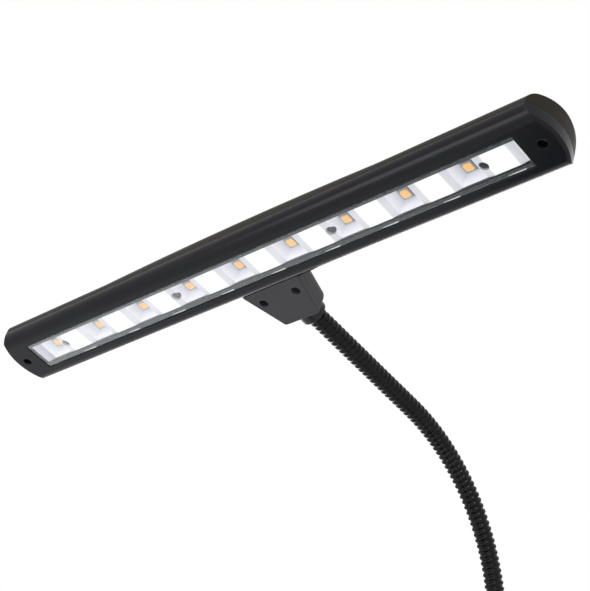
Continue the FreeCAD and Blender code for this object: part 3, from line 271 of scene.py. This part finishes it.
feed(wear_group, result["Normal"], rounded.outputs[0])
print("built", wear_group.name)

# %% [markdown]
# ### Dust
# Dust lies on what faces up, as a thin haze with a few larger specks. The mask multiplies how far
# a surface looks up by two noises.

# %% Group: dust
dust_group, given, result = new_group("Dust", [("Amount", "Float", 0.2)], [("Mask", "Float")])
place = new_node(dust_group, "ShaderNodeTexCoord").outputs["Object"]
facing = new_node(dust_group, "ShaderNodeSeparateXYZ")
feed(dust_group, facing.inputs[0], new_node(dust_group, "ShaderNodeNewGeometry").outputs["Normal"])
upward = spread(dust_group, facing.outputs["Z"], 0.1, 1.0)
specks = spread(dust_group, noise(dust_group, place, 1400.0, 1.0), 0.68, 0.74)
reflection_veil = spread(dust_group, noise(dust_group, place, 90.0, 5.0), 0.2, 0.8, 0.0, 0.14)
settled = calculate(dust_group, "MULTIPLY", calculate(dust_group, "ADD", specks, reflection_veil), upward)
feed(dust_group, result["Mask"], calculate(dust_group, "MULTIPLY", settled, given["Amount"], clamp=True))
print("built", dust_group.name)

# %% [markdown]
# ### Place in the head
# Some finishes inside the window change with the place along the row of lights. A Vector Rotate
# node undoes the head's tilt, so that x, y and z are the head's own, in millimetres.

# %% Group: place in the head
head_group, given, result = new_group(
    "Place in head",
    [("Scale", "Float", 1000.0)],
    [("X", "Float"), ("Y", "Float"), ("Z", "Float")],
)
place = new_node(head_group, "ShaderNodeTexCoord").outputs["Object"]
moved = new_node(head_group, "ShaderNodeVectorMath", operation="SUBTRACT")
feed(head_group, moved.inputs[0], place)
moved.inputs[1].default_value = HEAD_ORIGIN
turned = new_node(head_group, "ShaderNodeVectorRotate", rotation_type="X_AXIS")
feed(head_group, turned.inputs["Vector"], moved.outputs[0])
turned.inputs["Angle"].default_value = HEAD_TILT
scaled = new_node(head_group, "ShaderNodeVectorMath", operation="SCALE")
feed(head_group, scaled.inputs[0], turned.outputs[0])
feed(head_group, scaled.inputs["Scale"], given["Scale"])
parts = new_node(head_group, "ShaderNodeSeparateXYZ")
feed(head_group, parts.inputs[0], scaled.outputs[0])
for axis in "XYZ":
    feed(head_group, result[axis], parts.outputs[axis])
print("built", head_group.name)

# %% [markdown]
# ## One recipe for most surfaces
# Plastic, paint, rubber and steel differ in colour, gloss, grain and wear, but they are built in
# the same way. One function makes them all from a row of a table. What is the same all over a
# surface, such as how metallic it is, goes on the shader's own socket.

# %% The common finish
DUST_COLOUR = (0.42, 0.41, 0.39, 1.0)


def surface(name, colour, roughness, **extra):
    """Material with grain, edge wear and dust. `extra` holds what differs from the usual."""
    usual = dict(tone=0.12, grain=2600.0, drift=40.0, gloss_drift=0.08, depth=0.00002, reach=0.0003,
                 wear=0.35, worn=None, dust=0.12, metallic=0.0, specular=0.5, coat=0.0)
    usual.update(extra)
    material = bpy.data.materials.new(name)
    material.use_nodes = True
    tree = material.node_tree
    shader = tree.nodes["Principled BSDF"]
    grain = place_group(tree, grain_group, colour=(*colour, 1), tone=usual["tone"], grain=usual["grain"],
                        drift=usual["drift"], roughness=roughness, roughness_spread=usual["gloss_drift"])
    wear = place_group(tree, wear_group, reach=usual["reach"], amount=usual["wear"])
    dust = place_group(tree, dust_group, amount=usual["dust"])
    worn = usual["worn"] or tuple(min(1.0, part * 2.2 + 0.01) for part in colour)
    toned = blend_colours(tree, wear["Mask"], grain["Colour"], (*worn, 1))
    feed(tree, shader.inputs["Base Color"], blend_colours(tree, dust["Mask"], toned, DUST_COLOUR))
    dull = calculate(tree, "MULTIPLY", dust["Mask"], 0.4)
    feed(tree, shader.inputs["Roughness"], calculate(tree, "ADD", grain["Roughness"], dull, clamp=True))
    relief = new_node(tree, "ShaderNodeBump")
    relief.inputs["Strength"].default_value = 0.5
    relief.inputs["Distance"].default_value = usual["depth"]
    feed(tree, relief.inputs["Height"], grain["Height"])
    feed(tree, relief.inputs["Normal"], wear["Normal"])
    feed(tree, shader.inputs["Normal"], relief.outputs[0])
    shader.inputs["Metallic"].default_value = usual["metallic"]
    shader.inputs["Specular IOR Level"].default_value = usual["specular"]
    shader.inputs["Coat Weight"].default_value = usual["coat"]
    shader.inputs["Coat Roughness"].default_value = 0.15
    return material


# %% [markdown]
# ## The table of finishes
# The head and the foot are satin black mouldings, the bracket is a little greyer and duller, and
# the arm and its collars are lacquered. What sits inside is rarely seen, but it shows through the
# window, from below, and when somebody opens the part, so it gets its real finish too.

# %% Black plastics, lacquers and rubber
finishes = {
    "head_black": surface("head_black", (0.0050, 0.0053, 0.0068), 0.2, specular=0.16, grain=3200.0,
                          wear=0.1, reach=0.0006, gloss_drift=0.04),
    "back_black": surface("back_black", (0.014, 0.0115, 0.008), 0.45, specular=0.08, grain=3200.0,
                          wear=0.15),
    "bracket_black": surface("bracket_black", (0.028, 0.028, 0.030), 0.6, specular=0.3, depth=0.00003),
    "frame_black": surface("frame_black", (0.02, 0.02, 0.023), 0.4, specular=0.2, dust=0.0),
    "collar_black": surface("collar_black", (0.009, 0.009, 0.010), 0.32, specular=0.25),
    "arm_black": surface("arm_black", (0.002, 0.002, 0.002), 0.14, specular=0.16, wear=0.0,
                         reach=0.00005, grain=1800.0, depth=0.00001),
    "foot_black": surface("foot_black", (0.009, 0.0093, 0.0105), 0.38, specular=0.26, grain=2400.0),
    "button_black": surface("button_black", (0.014, 0.014, 0.015), 0.45, specular=0.35, reach=0.0004),
    "switch_plastic": surface("switch_plastic", (0.02, 0.02, 0.022), 0.42, specular=0.4),
    "lead_black": surface("lead_black", (0.016, 0.016, 0.016), 0.6, specular=0.35, grain=1500.0),
    "pad_rubber": surface("pad_rubber", (0.024, 0.024, 0.025), 0.8, specular=0.25, grain=900.0,
                          depth=0.0001),
}
print("black finishes", len(finishes))

# %% Metals, boards and lights
STEEL_WORN = (0.72, 0.72, 0.73)
finishes.update({
    "screw_black": surface("screw_black", (0.012, 0.0125, 0.014), 0.4, metallic=0.3, specular=0.2,
                           reach=0.0001, worn=(0.05, 0.05, 0.052), dust=0.0),
    "screw_steel": surface("screw_steel", (0.52, 0.52, 0.53), 0.3, metallic=1.0, worn=STEEL_WORN,
                           tone=0.06),
    "fitting_steel": surface("fitting_steel", (0.56, 0.56, 0.57), 0.28, metallic=1.0, worn=STEEL_WORN,
                             tone=0.06),
    "plate_steel": surface("plate_steel", (0.05, 0.05, 0.054), 0.5, metallic=0.3, worn=(0.3, 0.3, 0.3)),
    "weight_iron": surface("weight_iron", (0.11, 0.108, 0.105), 0.7, metallic=0.7, grain=700.0,
                           depth=0.0002, tone=0.25),
    "spreader_aluminium": surface("spreader_aluminium", (0.70, 0.71, 0.73), 0.36, metallic=1.0, tone=0.05),
    "board_white": surface("board_white", (0.72, 0.74, 0.72), 0.42, tone=0.04),
    "board_green": surface("board_green", (0.015, 0.12, 0.05), 0.36, tone=0.15, worn=(0.4, 0.3, 0.12)),
    # The lights' bodies are painted dark grey: painted shade round the phosphor.
    "led_white": surface("led_white", (0.26, 0.27, 0.31), 0.4, tone=0.03, wear=0.1, reach=0.0001, dust=0.0),
})
print("all common finishes", len(finishes))

# %% [markdown]
# ## The reflector
# One white moulding fills the window. Midway between two lights it has a flat cell, polished so
# that it throws the light forward. Slopes lead from there down to a square cup round each light,
# left satin so that the light doesn't glare. Cell, slope and cup repeat with the lights, every
# 30 mm, so two masks along the row tell them apart. The slopes and cups get painted shade, grey
# and a cool lavender, darker on the cups' floors and on the slope at the row's first end.

# %% Reflector finish
LED_PITCH = 30.0
FIRST_LED = -127.0
CELL_HALF = 5.7
CUP_HALF = 5.7
SLOPE_END = -132.9  # where the slope at the row's first end meets the first cup
# Painted shade on the cups' floors: it grows darker towards each light, between these distances.
FLOOR_SHADE_FULL, FLOOR_SHADE_GONE = 2.8, 5.4  # from a light's middle
CELL_WHITE = (0.985, 0.985, 0.985, 1)
# The slopes and cups are the same white plastic as the cells; their grey and lavender are painted shade.
SLOPE_SHADE_GREY = (0.66, 0.67, 0.70, 1)
CUP_FLOOR_SHADE, CUP_RIM_SHADE = (0.70, 0.71, 0.76, 1), (0.92, 0.925, 0.98, 1)
# Painted shade on the slope at the row's first end: it grows darker towards the first cup.
END_SHADE_LIGHT, END_SHADE_DARK = (0.58, 0.58, 0.66, 1), (0.32, 0.32, 0.40, 1)


def reflector_finish():
    """White plastic, bright in the cells, with painted shade: grey on the slopes, a cool lavender in the
    satin cups, darker towards each light.
    """
    material = bpy.data.materials.new("reflector_white")
    material.use_nodes = True
    tree = material.node_tree
    shader = tree.nodes["Principled BSDF"]
    place = place_group(tree, head_group)
    along = calculate(tree, "SUBTRACT", place["X"], FIRST_LED - LED_PITCH / 2)
    from_cell = calculate(tree, "PINGPONG", along, LED_PITCH / 2)
    in_cell = spread(tree, from_cell, CELL_HALF - 0.1, CELL_HALF + 0.2, 1.0, 0.0)
    after_first = spread(tree, place["X"], FIRST_LED, FIRST_LED + 1.0)
    cell = calculate(tree, "MULTIPLY", in_cell, after_first)
    in_cup = spread(tree, from_cell, LED_PITCH / 2 - CUP_HALF - 0.3, LED_PITCH / 2 - CUP_HALF + 0.1)
    past_slope = spread(tree, place["X"], SLOPE_END, SLOPE_END + 0.4)
    in_cup = calculate(tree, "MULTIPLY", in_cup, past_slope)
    grain = place_group(tree, grain_group, colour=SLOPE_SHADE_GREY, tone=0.03, grain=900.0, drift=90.0,
                        roughness=0.36, roughness_spread=0.05)
    end_slope_shade = blend_colours(tree, spread(tree, place["X"], -138.0, -133.0), END_SHADE_LIGHT, END_SHADE_DARK)
    slope_shade = blend_colours(tree, past_slope, end_slope_shade, grain["Colour"])
    across = calculate(tree, "ABSOLUTE", place["Y"])
    from_light = calculate(tree, "MAXIMUM", calculate(tree, "SUBTRACT", LED_PITCH / 2, from_cell), across)
    cup_shade = blend_colours(tree, spread(tree, from_light, FLOOR_SHADE_FULL, FLOOR_SHADE_GONE), CUP_FLOOR_SHADE, CUP_RIM_SHADE)
    satin_shade = blend_colours(tree, in_cup, slope_shade, cup_shade)
    feed(tree, shader.inputs["Base Color"], blend_colours(tree, cell, satin_shade, CELL_WHITE))
    feed(tree, shader.inputs["Roughness"], spread(tree, cell, 0.0, 1.0, grain["Roughness"], 0.2))
    relief = new_node(tree, "ShaderNodeBump")
    relief.inputs["Strength"].default_value = 0.3
    relief.inputs["Distance"].default_value = 0.00002
    feed(tree, relief.inputs["Height"], grain["Height"])
    feed(tree, shader.inputs["Normal"], relief.outputs[0])
    return material


finishes["reflector_white"] = reflector_finish()
print("reflector repeats every", LED_PITCH, "mm")

# %% [markdown]
# ## Phosphor and lens
# Each light is a square body with amber phosphor under clear silicone, so it has a glossy coat. The
# lens is clear plastic, almost invisible straight on. Its reflection is painted as a white veil that
# Layer Weight makes stronger at a flat angle, so what lies far along the row looks paler through it.

# %% Phosphor finish
def phosphor_finish():
    """Amber phosphor under clear silicone."""
    material = bpy.data.materials.new("phosphor_amber")
    material.use_nodes = True
    tree = material.node_tree
    shader = tree.nodes["Principled BSDF"]
    grain = place_group(tree, grain_group, colour=(1.0, 0.54, 0.12, 1), tone=0.05, grain=6000.0,
                        drift=800.0, roughness=0.4, roughness_spread=0.1)
    feed(tree, shader.inputs["Base Color"], grain["Colour"])
    feed(tree, shader.inputs["Roughness"], grain["Roughness"])
    shader.inputs["Coat Weight"].default_value = 1.0
    shader.inputs["Coat Roughness"].default_value = 0.08
    return material


finishes["phosphor_amber"] = phosphor_finish()
print("phosphor ready")

# %% Lens finish
# A paler band on the lens's ledge is painted reflection over the black lip.
BORDER_START = 5.5
BORDER_END = 6.5
BORDER_FADE = 0.4
BORDER_VEIL = 0.05
# Painted reflection: a white veil on the lens, stronger at a flat angle.
CLEAR_SLANT, FULL_VEIL_SLANT = 0.27, 0.45
STRAIGHT_ON_VEIL, FLAT_ANGLE_VEIL = 0.01, 0.17


def lens_finish():
    """Clear plastic with painted reflection: a white veil, stronger at a flat angle, and a paler border on
    its ledge.
    """
    material = bpy.data.materials.new("lens_clear")
    material.use_nodes = True
    tree = material.node_tree
    shader = tree.nodes["Principled BSDF"]
    grain = place_group(tree, grain_group, colour=(0.90, 0.92, 0.95, 1), tone=0.02, grain=300.0,
                        drift=60.0, roughness=0.06, roughness_spread=0.03)
    feed(tree, shader.inputs["Base Color"], grain["Colour"])
    feed(tree, shader.inputs["Roughness"], grain["Roughness"])
    slant = new_node(tree, "ShaderNodeLayerWeight")
    slant.inputs["Blend"].default_value = 0.5
    reflection_veil = spread(tree, slant.outputs["Facing"], CLEAR_SLANT, FULL_VEIL_SLANT, STRAIGHT_ON_VEIL, FLAT_ANGLE_VEIL)
    place = place_group(tree, head_group)
    from_middle = calculate(tree, "ABSOLUTE", place["Y"])
    border = spread(tree, from_middle, BORDER_START, BORDER_START + BORDER_FADE, 0.0, BORDER_VEIL)
    inside = spread(tree, place["Y"], BORDER_END, BORDER_END + BORDER_FADE, 1.0, 0.0)
    border = calculate(tree, "MULTIPLY", border, inside)
    feed(tree, shader.inputs["Alpha"], calculate(tree, "ADD", reflection_veil, border))
    return material


finishes["lens_clear"] = lens_finish()
print("lens ready")

# %% [markdown]
# ## Dress the solids
# The record says which finish each solid takes, and only the rear shell gets another: a browner
# black than the front. Every solid keeps its shape and place, and only its material changes.

# %% Give each solid its finish
OWN_FINISH = {"rear_housing": "back_black"}
slot_of = {part["node"]: part["material_slot"] for part in frame["record"]["subparts"]}
for name, solid in frame["nodes"].items():
    solid.data.materials.clear()
    solid.data.materials.append(finishes[OWN_FINISH.get(name, slot_of[name])])
print("dressed", len(slot_of), "solids with", len(finishes), "finishes")

# %% [markdown]
# ## The ribs of the arm
# A flexible arm is a tight coil of round wire with a three-sided wire wound into the groove, and
# friction between the two holds the pose. Outside one sees round ribs on a screw line. A texture
# can't give the notched outline, so the ribs are real: a tube whose radius follows the rib's
# profile, and whose profile is shifted along the arm as one goes round it. The arm has four
# hinges, so it is made as four lengths, each round one hinge.

# %% Profile of one rib
RIB_PITCH = 2.7 * MM
RIB_SHARE = 0.72  # part of the pitch that the round wire takes
RIB_TOP = 4.5 * MM
RIB_SEAM = 3.7 * MM
GROOVE_TOP = 3.85 * MM
BORE = 2.4 * MM


def rib_radius(turns):
    """Outer radius at a place on the screw line, counted in turns."""
    t = turns % 1.0
    if t < RIB_SHARE:
        u = 2 * t / RIB_SHARE - 1
        return RIB_SEAM + (RIB_TOP - RIB_SEAM) * math.sqrt(max(0.0, 1 - u * u))
    u = (t - RIB_SHARE) / (1 - RIB_SHARE)
    return RIB_SEAM + (GROOVE_TOP - RIB_SEAM) * math.sin(math.pi * u)


print("rib stands", round((RIB_TOP - RIB_SEAM) / MM, 2), "mm proud")

# %% A length of ribbed arm
ROUND_STEPS = 30
STEPS_PER_RIB = 9
BORE_STEPS = 40


def ribbed_length(name, start, end):
    """Hollow ribbed tube along the arm between two stations."""
    rings = int(round((end - start) / RIB_PITCH * STEPS_PER_RIB))
    points, faces = [], []

    def ring(station, radius_at):
        centre, direction = arm_point(station)
        side = direction.cross(Vector((1, 0, 0)))
        for k in range(ROUND_STEPS):
            angle = 2 * math.pi * k / ROUND_STEPS
            spoke = Vector((math.cos(angle), 0, 0)) + side * math.sin(angle)
            points.append(centre + spoke * radius_at(k / ROUND_STEPS))
        return len(points) - ROUND_STEPS

    def join(first, second):
        for k in range(ROUND_STEPS):
            after = (k + 1) % ROUND_STEPS
            faces.append((first + k, second + k, second + after, first + after))

    outer = []
    for i in range(rings + 1):
        station = start + (end - start) * i / rings
        outer.append(ring(station, lambda share, s=station: rib_radius(s / RIB_PITCH - share)))
    for first, second in zip(outer, outer[1:]):
        join(first, second)
    inner = [ring(start + (end - start) * i / BORE_STEPS, lambda share: BORE) for i in range(BORE_STEPS + 1)]
    for first, second in zip(inner, inner[1:]):
        join(second, first)
    join(inner[0], outer[0])
    join(outer[-1], inner[-1])
    mesh = bpy.data.meshes.new(name)
    mesh.from_pydata(points, [], faces)
    mesh.shade_smooth()
    mesh.materials.append(finishes["arm_black"])
    piece = bpy.data.objects.new(name, mesh)
    bpy.context.scene.collection.objects.link(piece)
    return piece


# %% [markdown]
# Each length runs round its hinge to midway towards the next one, or into the sleeve and the collar
# at the ends, and the solid arm sections it stands for are hidden.

# %% Build the four lengths
LEAN_HINGE = 35.0 * MM
LOWER_HINGE = 95.0 * MM
UPPER_HINGE = 44.0 * MM  # back from the collar
HINGES = (LEAN_HINGE, LOWER_HINGE, ARM_RISE + ARC_LENGTH / 2, ARM_LENGTH - UPPER_HINGE)
INTO_SLEEVE = 10.0 * MM
INTO_COLLAR = 3.0 * MM
marks = [-INTO_SLEEVE]
marks += [(HINGES[i] + HINGES[i + 1]) / 2 for i in range(3)]
marks += [ARM_LENGTH + INTO_COLLAR]
STANDS_FOR = (
    ("arm_section_1", "arm_section_2"),
    ("arm_section_3",),
    ("arm_section_4",),
    ("arm_section_5",),
)
for i, hinge in enumerate(HINGES):
    length = ribbed_length("ribbed_arm_%d" % (i + 1), marks[i], marks[i + 1])
    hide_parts(*STANDS_FOR[i])
    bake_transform(length)
    print(length.name, "vertices", len(length.data.vertices))

# %% [markdown]
# ## Glints on the lens's edge
# Along the window's lower wall, the edge of the lens mirrors each white cell as one bright dash.
# The dash is a painted glint: beside each white cell a slim white wedge, thin where it starts and
# thicker at its end, with broken edges so that it has real thickness.

# %% Painted glints
# Each painted glint is a white wedge that stands in for the lens's edge mirroring a white cell.
GLINT_WALL_Y = 7.6
GLINT_FOOT_Z = 1.09
GLINT_BEFORE, GLINT_AFTER = 1.4, 6.7  # from the middle of its white cell
GLINT_COUNT = 9
GLINT_SECTIONS = ((0.0, 0.08, 0.12), (0.45, 0.14, 0.42), (1.0, 0.15, 0.60))  # place, thick, tall
EDGE_BREAK = 0.03
finishes["glint_white"] = surface("glint_white", (0.95, 0.955, 0.97), 0.25, tone=0.02, dust=0.0, wear=0.0,
                                  reach=0.00008)


def glint_strip(name, x0, x1):
    """White wedge on the window's lower wall, at the edge of the lens: a painted glint where the lens's edge
    mirrors a white cell.
    """
    corners = []
    for share, thick, tall in GLINT_SECTIONS:
        x = x0 + share * (x1 - x0)
        y = GLINT_WALL_Y - thick
        z = GLINT_FOOT_Z - tall
        corners.append([(x, GLINT_WALL_Y, GLINT_FOOT_Z), (x, GLINT_WALL_Y, z), (x, y + EDGE_BREAK, z),
                        (x, y, z + EDGE_BREAK), (x, y, GLINT_FOOT_Z)])
    points = [in_head(*corner) for section in corners for corner in section]
    sides = 5
    faces = [tuple(range(sides))[::-1], tuple(range(2 * sides, 3 * sides))]
    for s in range(2):
        for k in range(sides):
            a, b = s * sides + k, s * sides + (k + 1) % sides
            faces.append((a, b, b + sides, a + sides))
    mesh = bpy.data.meshes.new(name)
    mesh.from_pydata(points, [], faces)
    mesh.materials.append(finishes["glint_white"])
    piece = bpy.data.objects.new(name, mesh)
    bpy.context.scene.collection.objects.link(piece)
    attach(piece, "head")


for i in range(GLINT_COUNT):
    cell = FIRST_LED + LED_PITCH * (i + 0.5)
    glint_strip("lens_glint_%d" % (i + 1), cell - GLINT_BEFORE, cell + GLINT_AFTER)
print("catches", GLINT_COUNT, "each", round(GLINT_BEFORE + GLINT_AFTER, 1), "mm long")

# %% [markdown]
# ## Floor, sky and lamps
# The lamp stands on a plain pale floor that fades to white far away. The camera and the reflections
# see the same white background. The key lamp stands to the right, where the long sides of the bar
# don't mirror it, and a fill lights the front from low down. A small soft box low on the left draws
# a soft highlight along the bar. A large lamp and a small low one behind on the left light the bar's
# lower edge. World and lamps together are stronger than a plain light, so that colours come out
# about a quarter to a third brighter than they are written.

# %% Floor
HALF_FLOOR = 12.0
FADE_START, FADE_END = 0.5, 2.2  # metres from the middle of the foot
floor_mesh = bpy.data.meshes.new("floor")
corners = [(-1, -1), (1, -1), (1, 1), (-1, 1)]
floor_mesh.from_pydata([(x * HALF_FLOOR, y * HALF_FLOOR, 0) for x, y in corners], [], [(0, 1, 2, 3)])
floor = bpy.data.objects.new("floor", floor_mesh)
bpy.context.scene.collection.objects.link(floor)
floor_finish = bpy.data.materials.new("floor_pale")
floor_finish.use_nodes = True
tree = floor_finish.node_tree
place = new_node(tree, "ShaderNodeTexCoord").outputs["Object"]
cloud = noise(tree, place, 3.0, 3.0)
pale = blend_colours(tree, spread(tree, cloud, 0.3, 0.7), (0.80, 0.80, 0.80, 1), (0.84, 0.84, 0.84, 1))
feed(tree, tree.nodes["Principled BSDF"].inputs["Base Color"], pale)
tree.nodes["Principled BSDF"].inputs["Roughness"].default_value = 0.7
far_white = new_node(tree, "ShaderNodeEmission")
distance = new_node(tree, "ShaderNodeVectorMath", operation="LENGTH")
feed(tree, distance.inputs[0], place)
away = spread(tree, distance.outputs["Value"], FADE_START, FADE_END)


def seen_rays(tree):
    """1 for rays that show the background: to the camera, in gloss and through glass."""
    ray = new_node(tree, "ShaderNodeLightPath").outputs
    seen = calculate(tree, "MAXIMUM", ray["Is Camera Ray"], ray["Is Glossy Ray"])
    return calculate(tree, "MAXIMUM", seen, ray["Is Transmission Ray"])


fade = new_node(tree, "ShaderNodeMixShader")
feed(tree, fade.inputs[0], calculate(tree, "MULTIPLY", away, seen_rays(tree)))
feed(tree, fade.inputs[1], tree.nodes["Principled BSDF"].outputs[0])
feed(tree, fade.inputs[2], far_white.outputs[0])
feed(tree, tree.nodes["Material Output"].inputs["Surface"], fade.outputs[0])
floor_mesh.materials.append(floor_finish)
print("floor", 2 * HALF_FLOOR, "m wide")

# %% World
AMBIENT_STRENGTH = 1.04
world = bpy.data.worlds.new("studio")
world.use_nodes = True
bpy.context.scene.world = world
tree = world.node_tree
tree.nodes.clear()
ambient = new_node(tree, "ShaderNodeBackground")
ambient.inputs["Color"].default_value = (0.97, 0.98, 1.0, 1)
ambient.inputs["Strength"].default_value = AMBIENT_STRENGTH
white = new_node(tree, "ShaderNodeBackground")
white.inputs["Strength"].default_value = 1.0
white.inputs["Color"].default_value = (1, 1, 1, 1)
either = new_node(tree, "ShaderNodeMixShader")
feed(tree, either.inputs[0], seen_rays(tree))
feed(tree, either.inputs[1], ambient.outputs[0])
feed(tree, either.inputs[2], white.outputs[0])
feed(tree, new_node(tree, "ShaderNodeOutputWorld").inputs["Surface"], either.outputs[0])
print("world ready")


# %% Lamps
LAMPS = (  # name, place in metres, size in metres, power in watts
    ("key", (2.4, -3.0, 3.4), 1.6, 70.0),
    ("low_fill", (0.9, -3.0, 0.9), 1.5, 18.0),
    ("soft_box", (-0.36, -0.90, 0.20), 0.38, 1.5),
    ("rim", (-1.5, 1.5, 0.2), 1.7, 28.0),
    ("low_card", (-0.62, 0.64, 0.13), 0.36, 1.1),
)


def soft_lamp(name, place, size, power):
    """Square area lamp at a place, turned to the head."""
    data = bpy.data.lights.new(name, "AREA")
    data.size = size
    data.energy = power
    lamp = bpy.data.objects.new(name, data)
    lamp.location = place
    lamp.rotation_mode = "QUATERNION"
    lamp.rotation_quaternion = (HEAD_ORIGIN - Vector(place)).to_track_quat("-Z", "Y")
    bpy.context.scene.collection.objects.link(lamp)


for lamp_row in LAMPS:
    soft_lamp(*lamp_row)
print("lamps", len(LAMPS))

# %% [markdown]
# ## Finish
# The scene's colours are shown through Blender's Standard view transform.

# %% Finish
bpy.context.scene.view_settings.view_transform = "Standard"
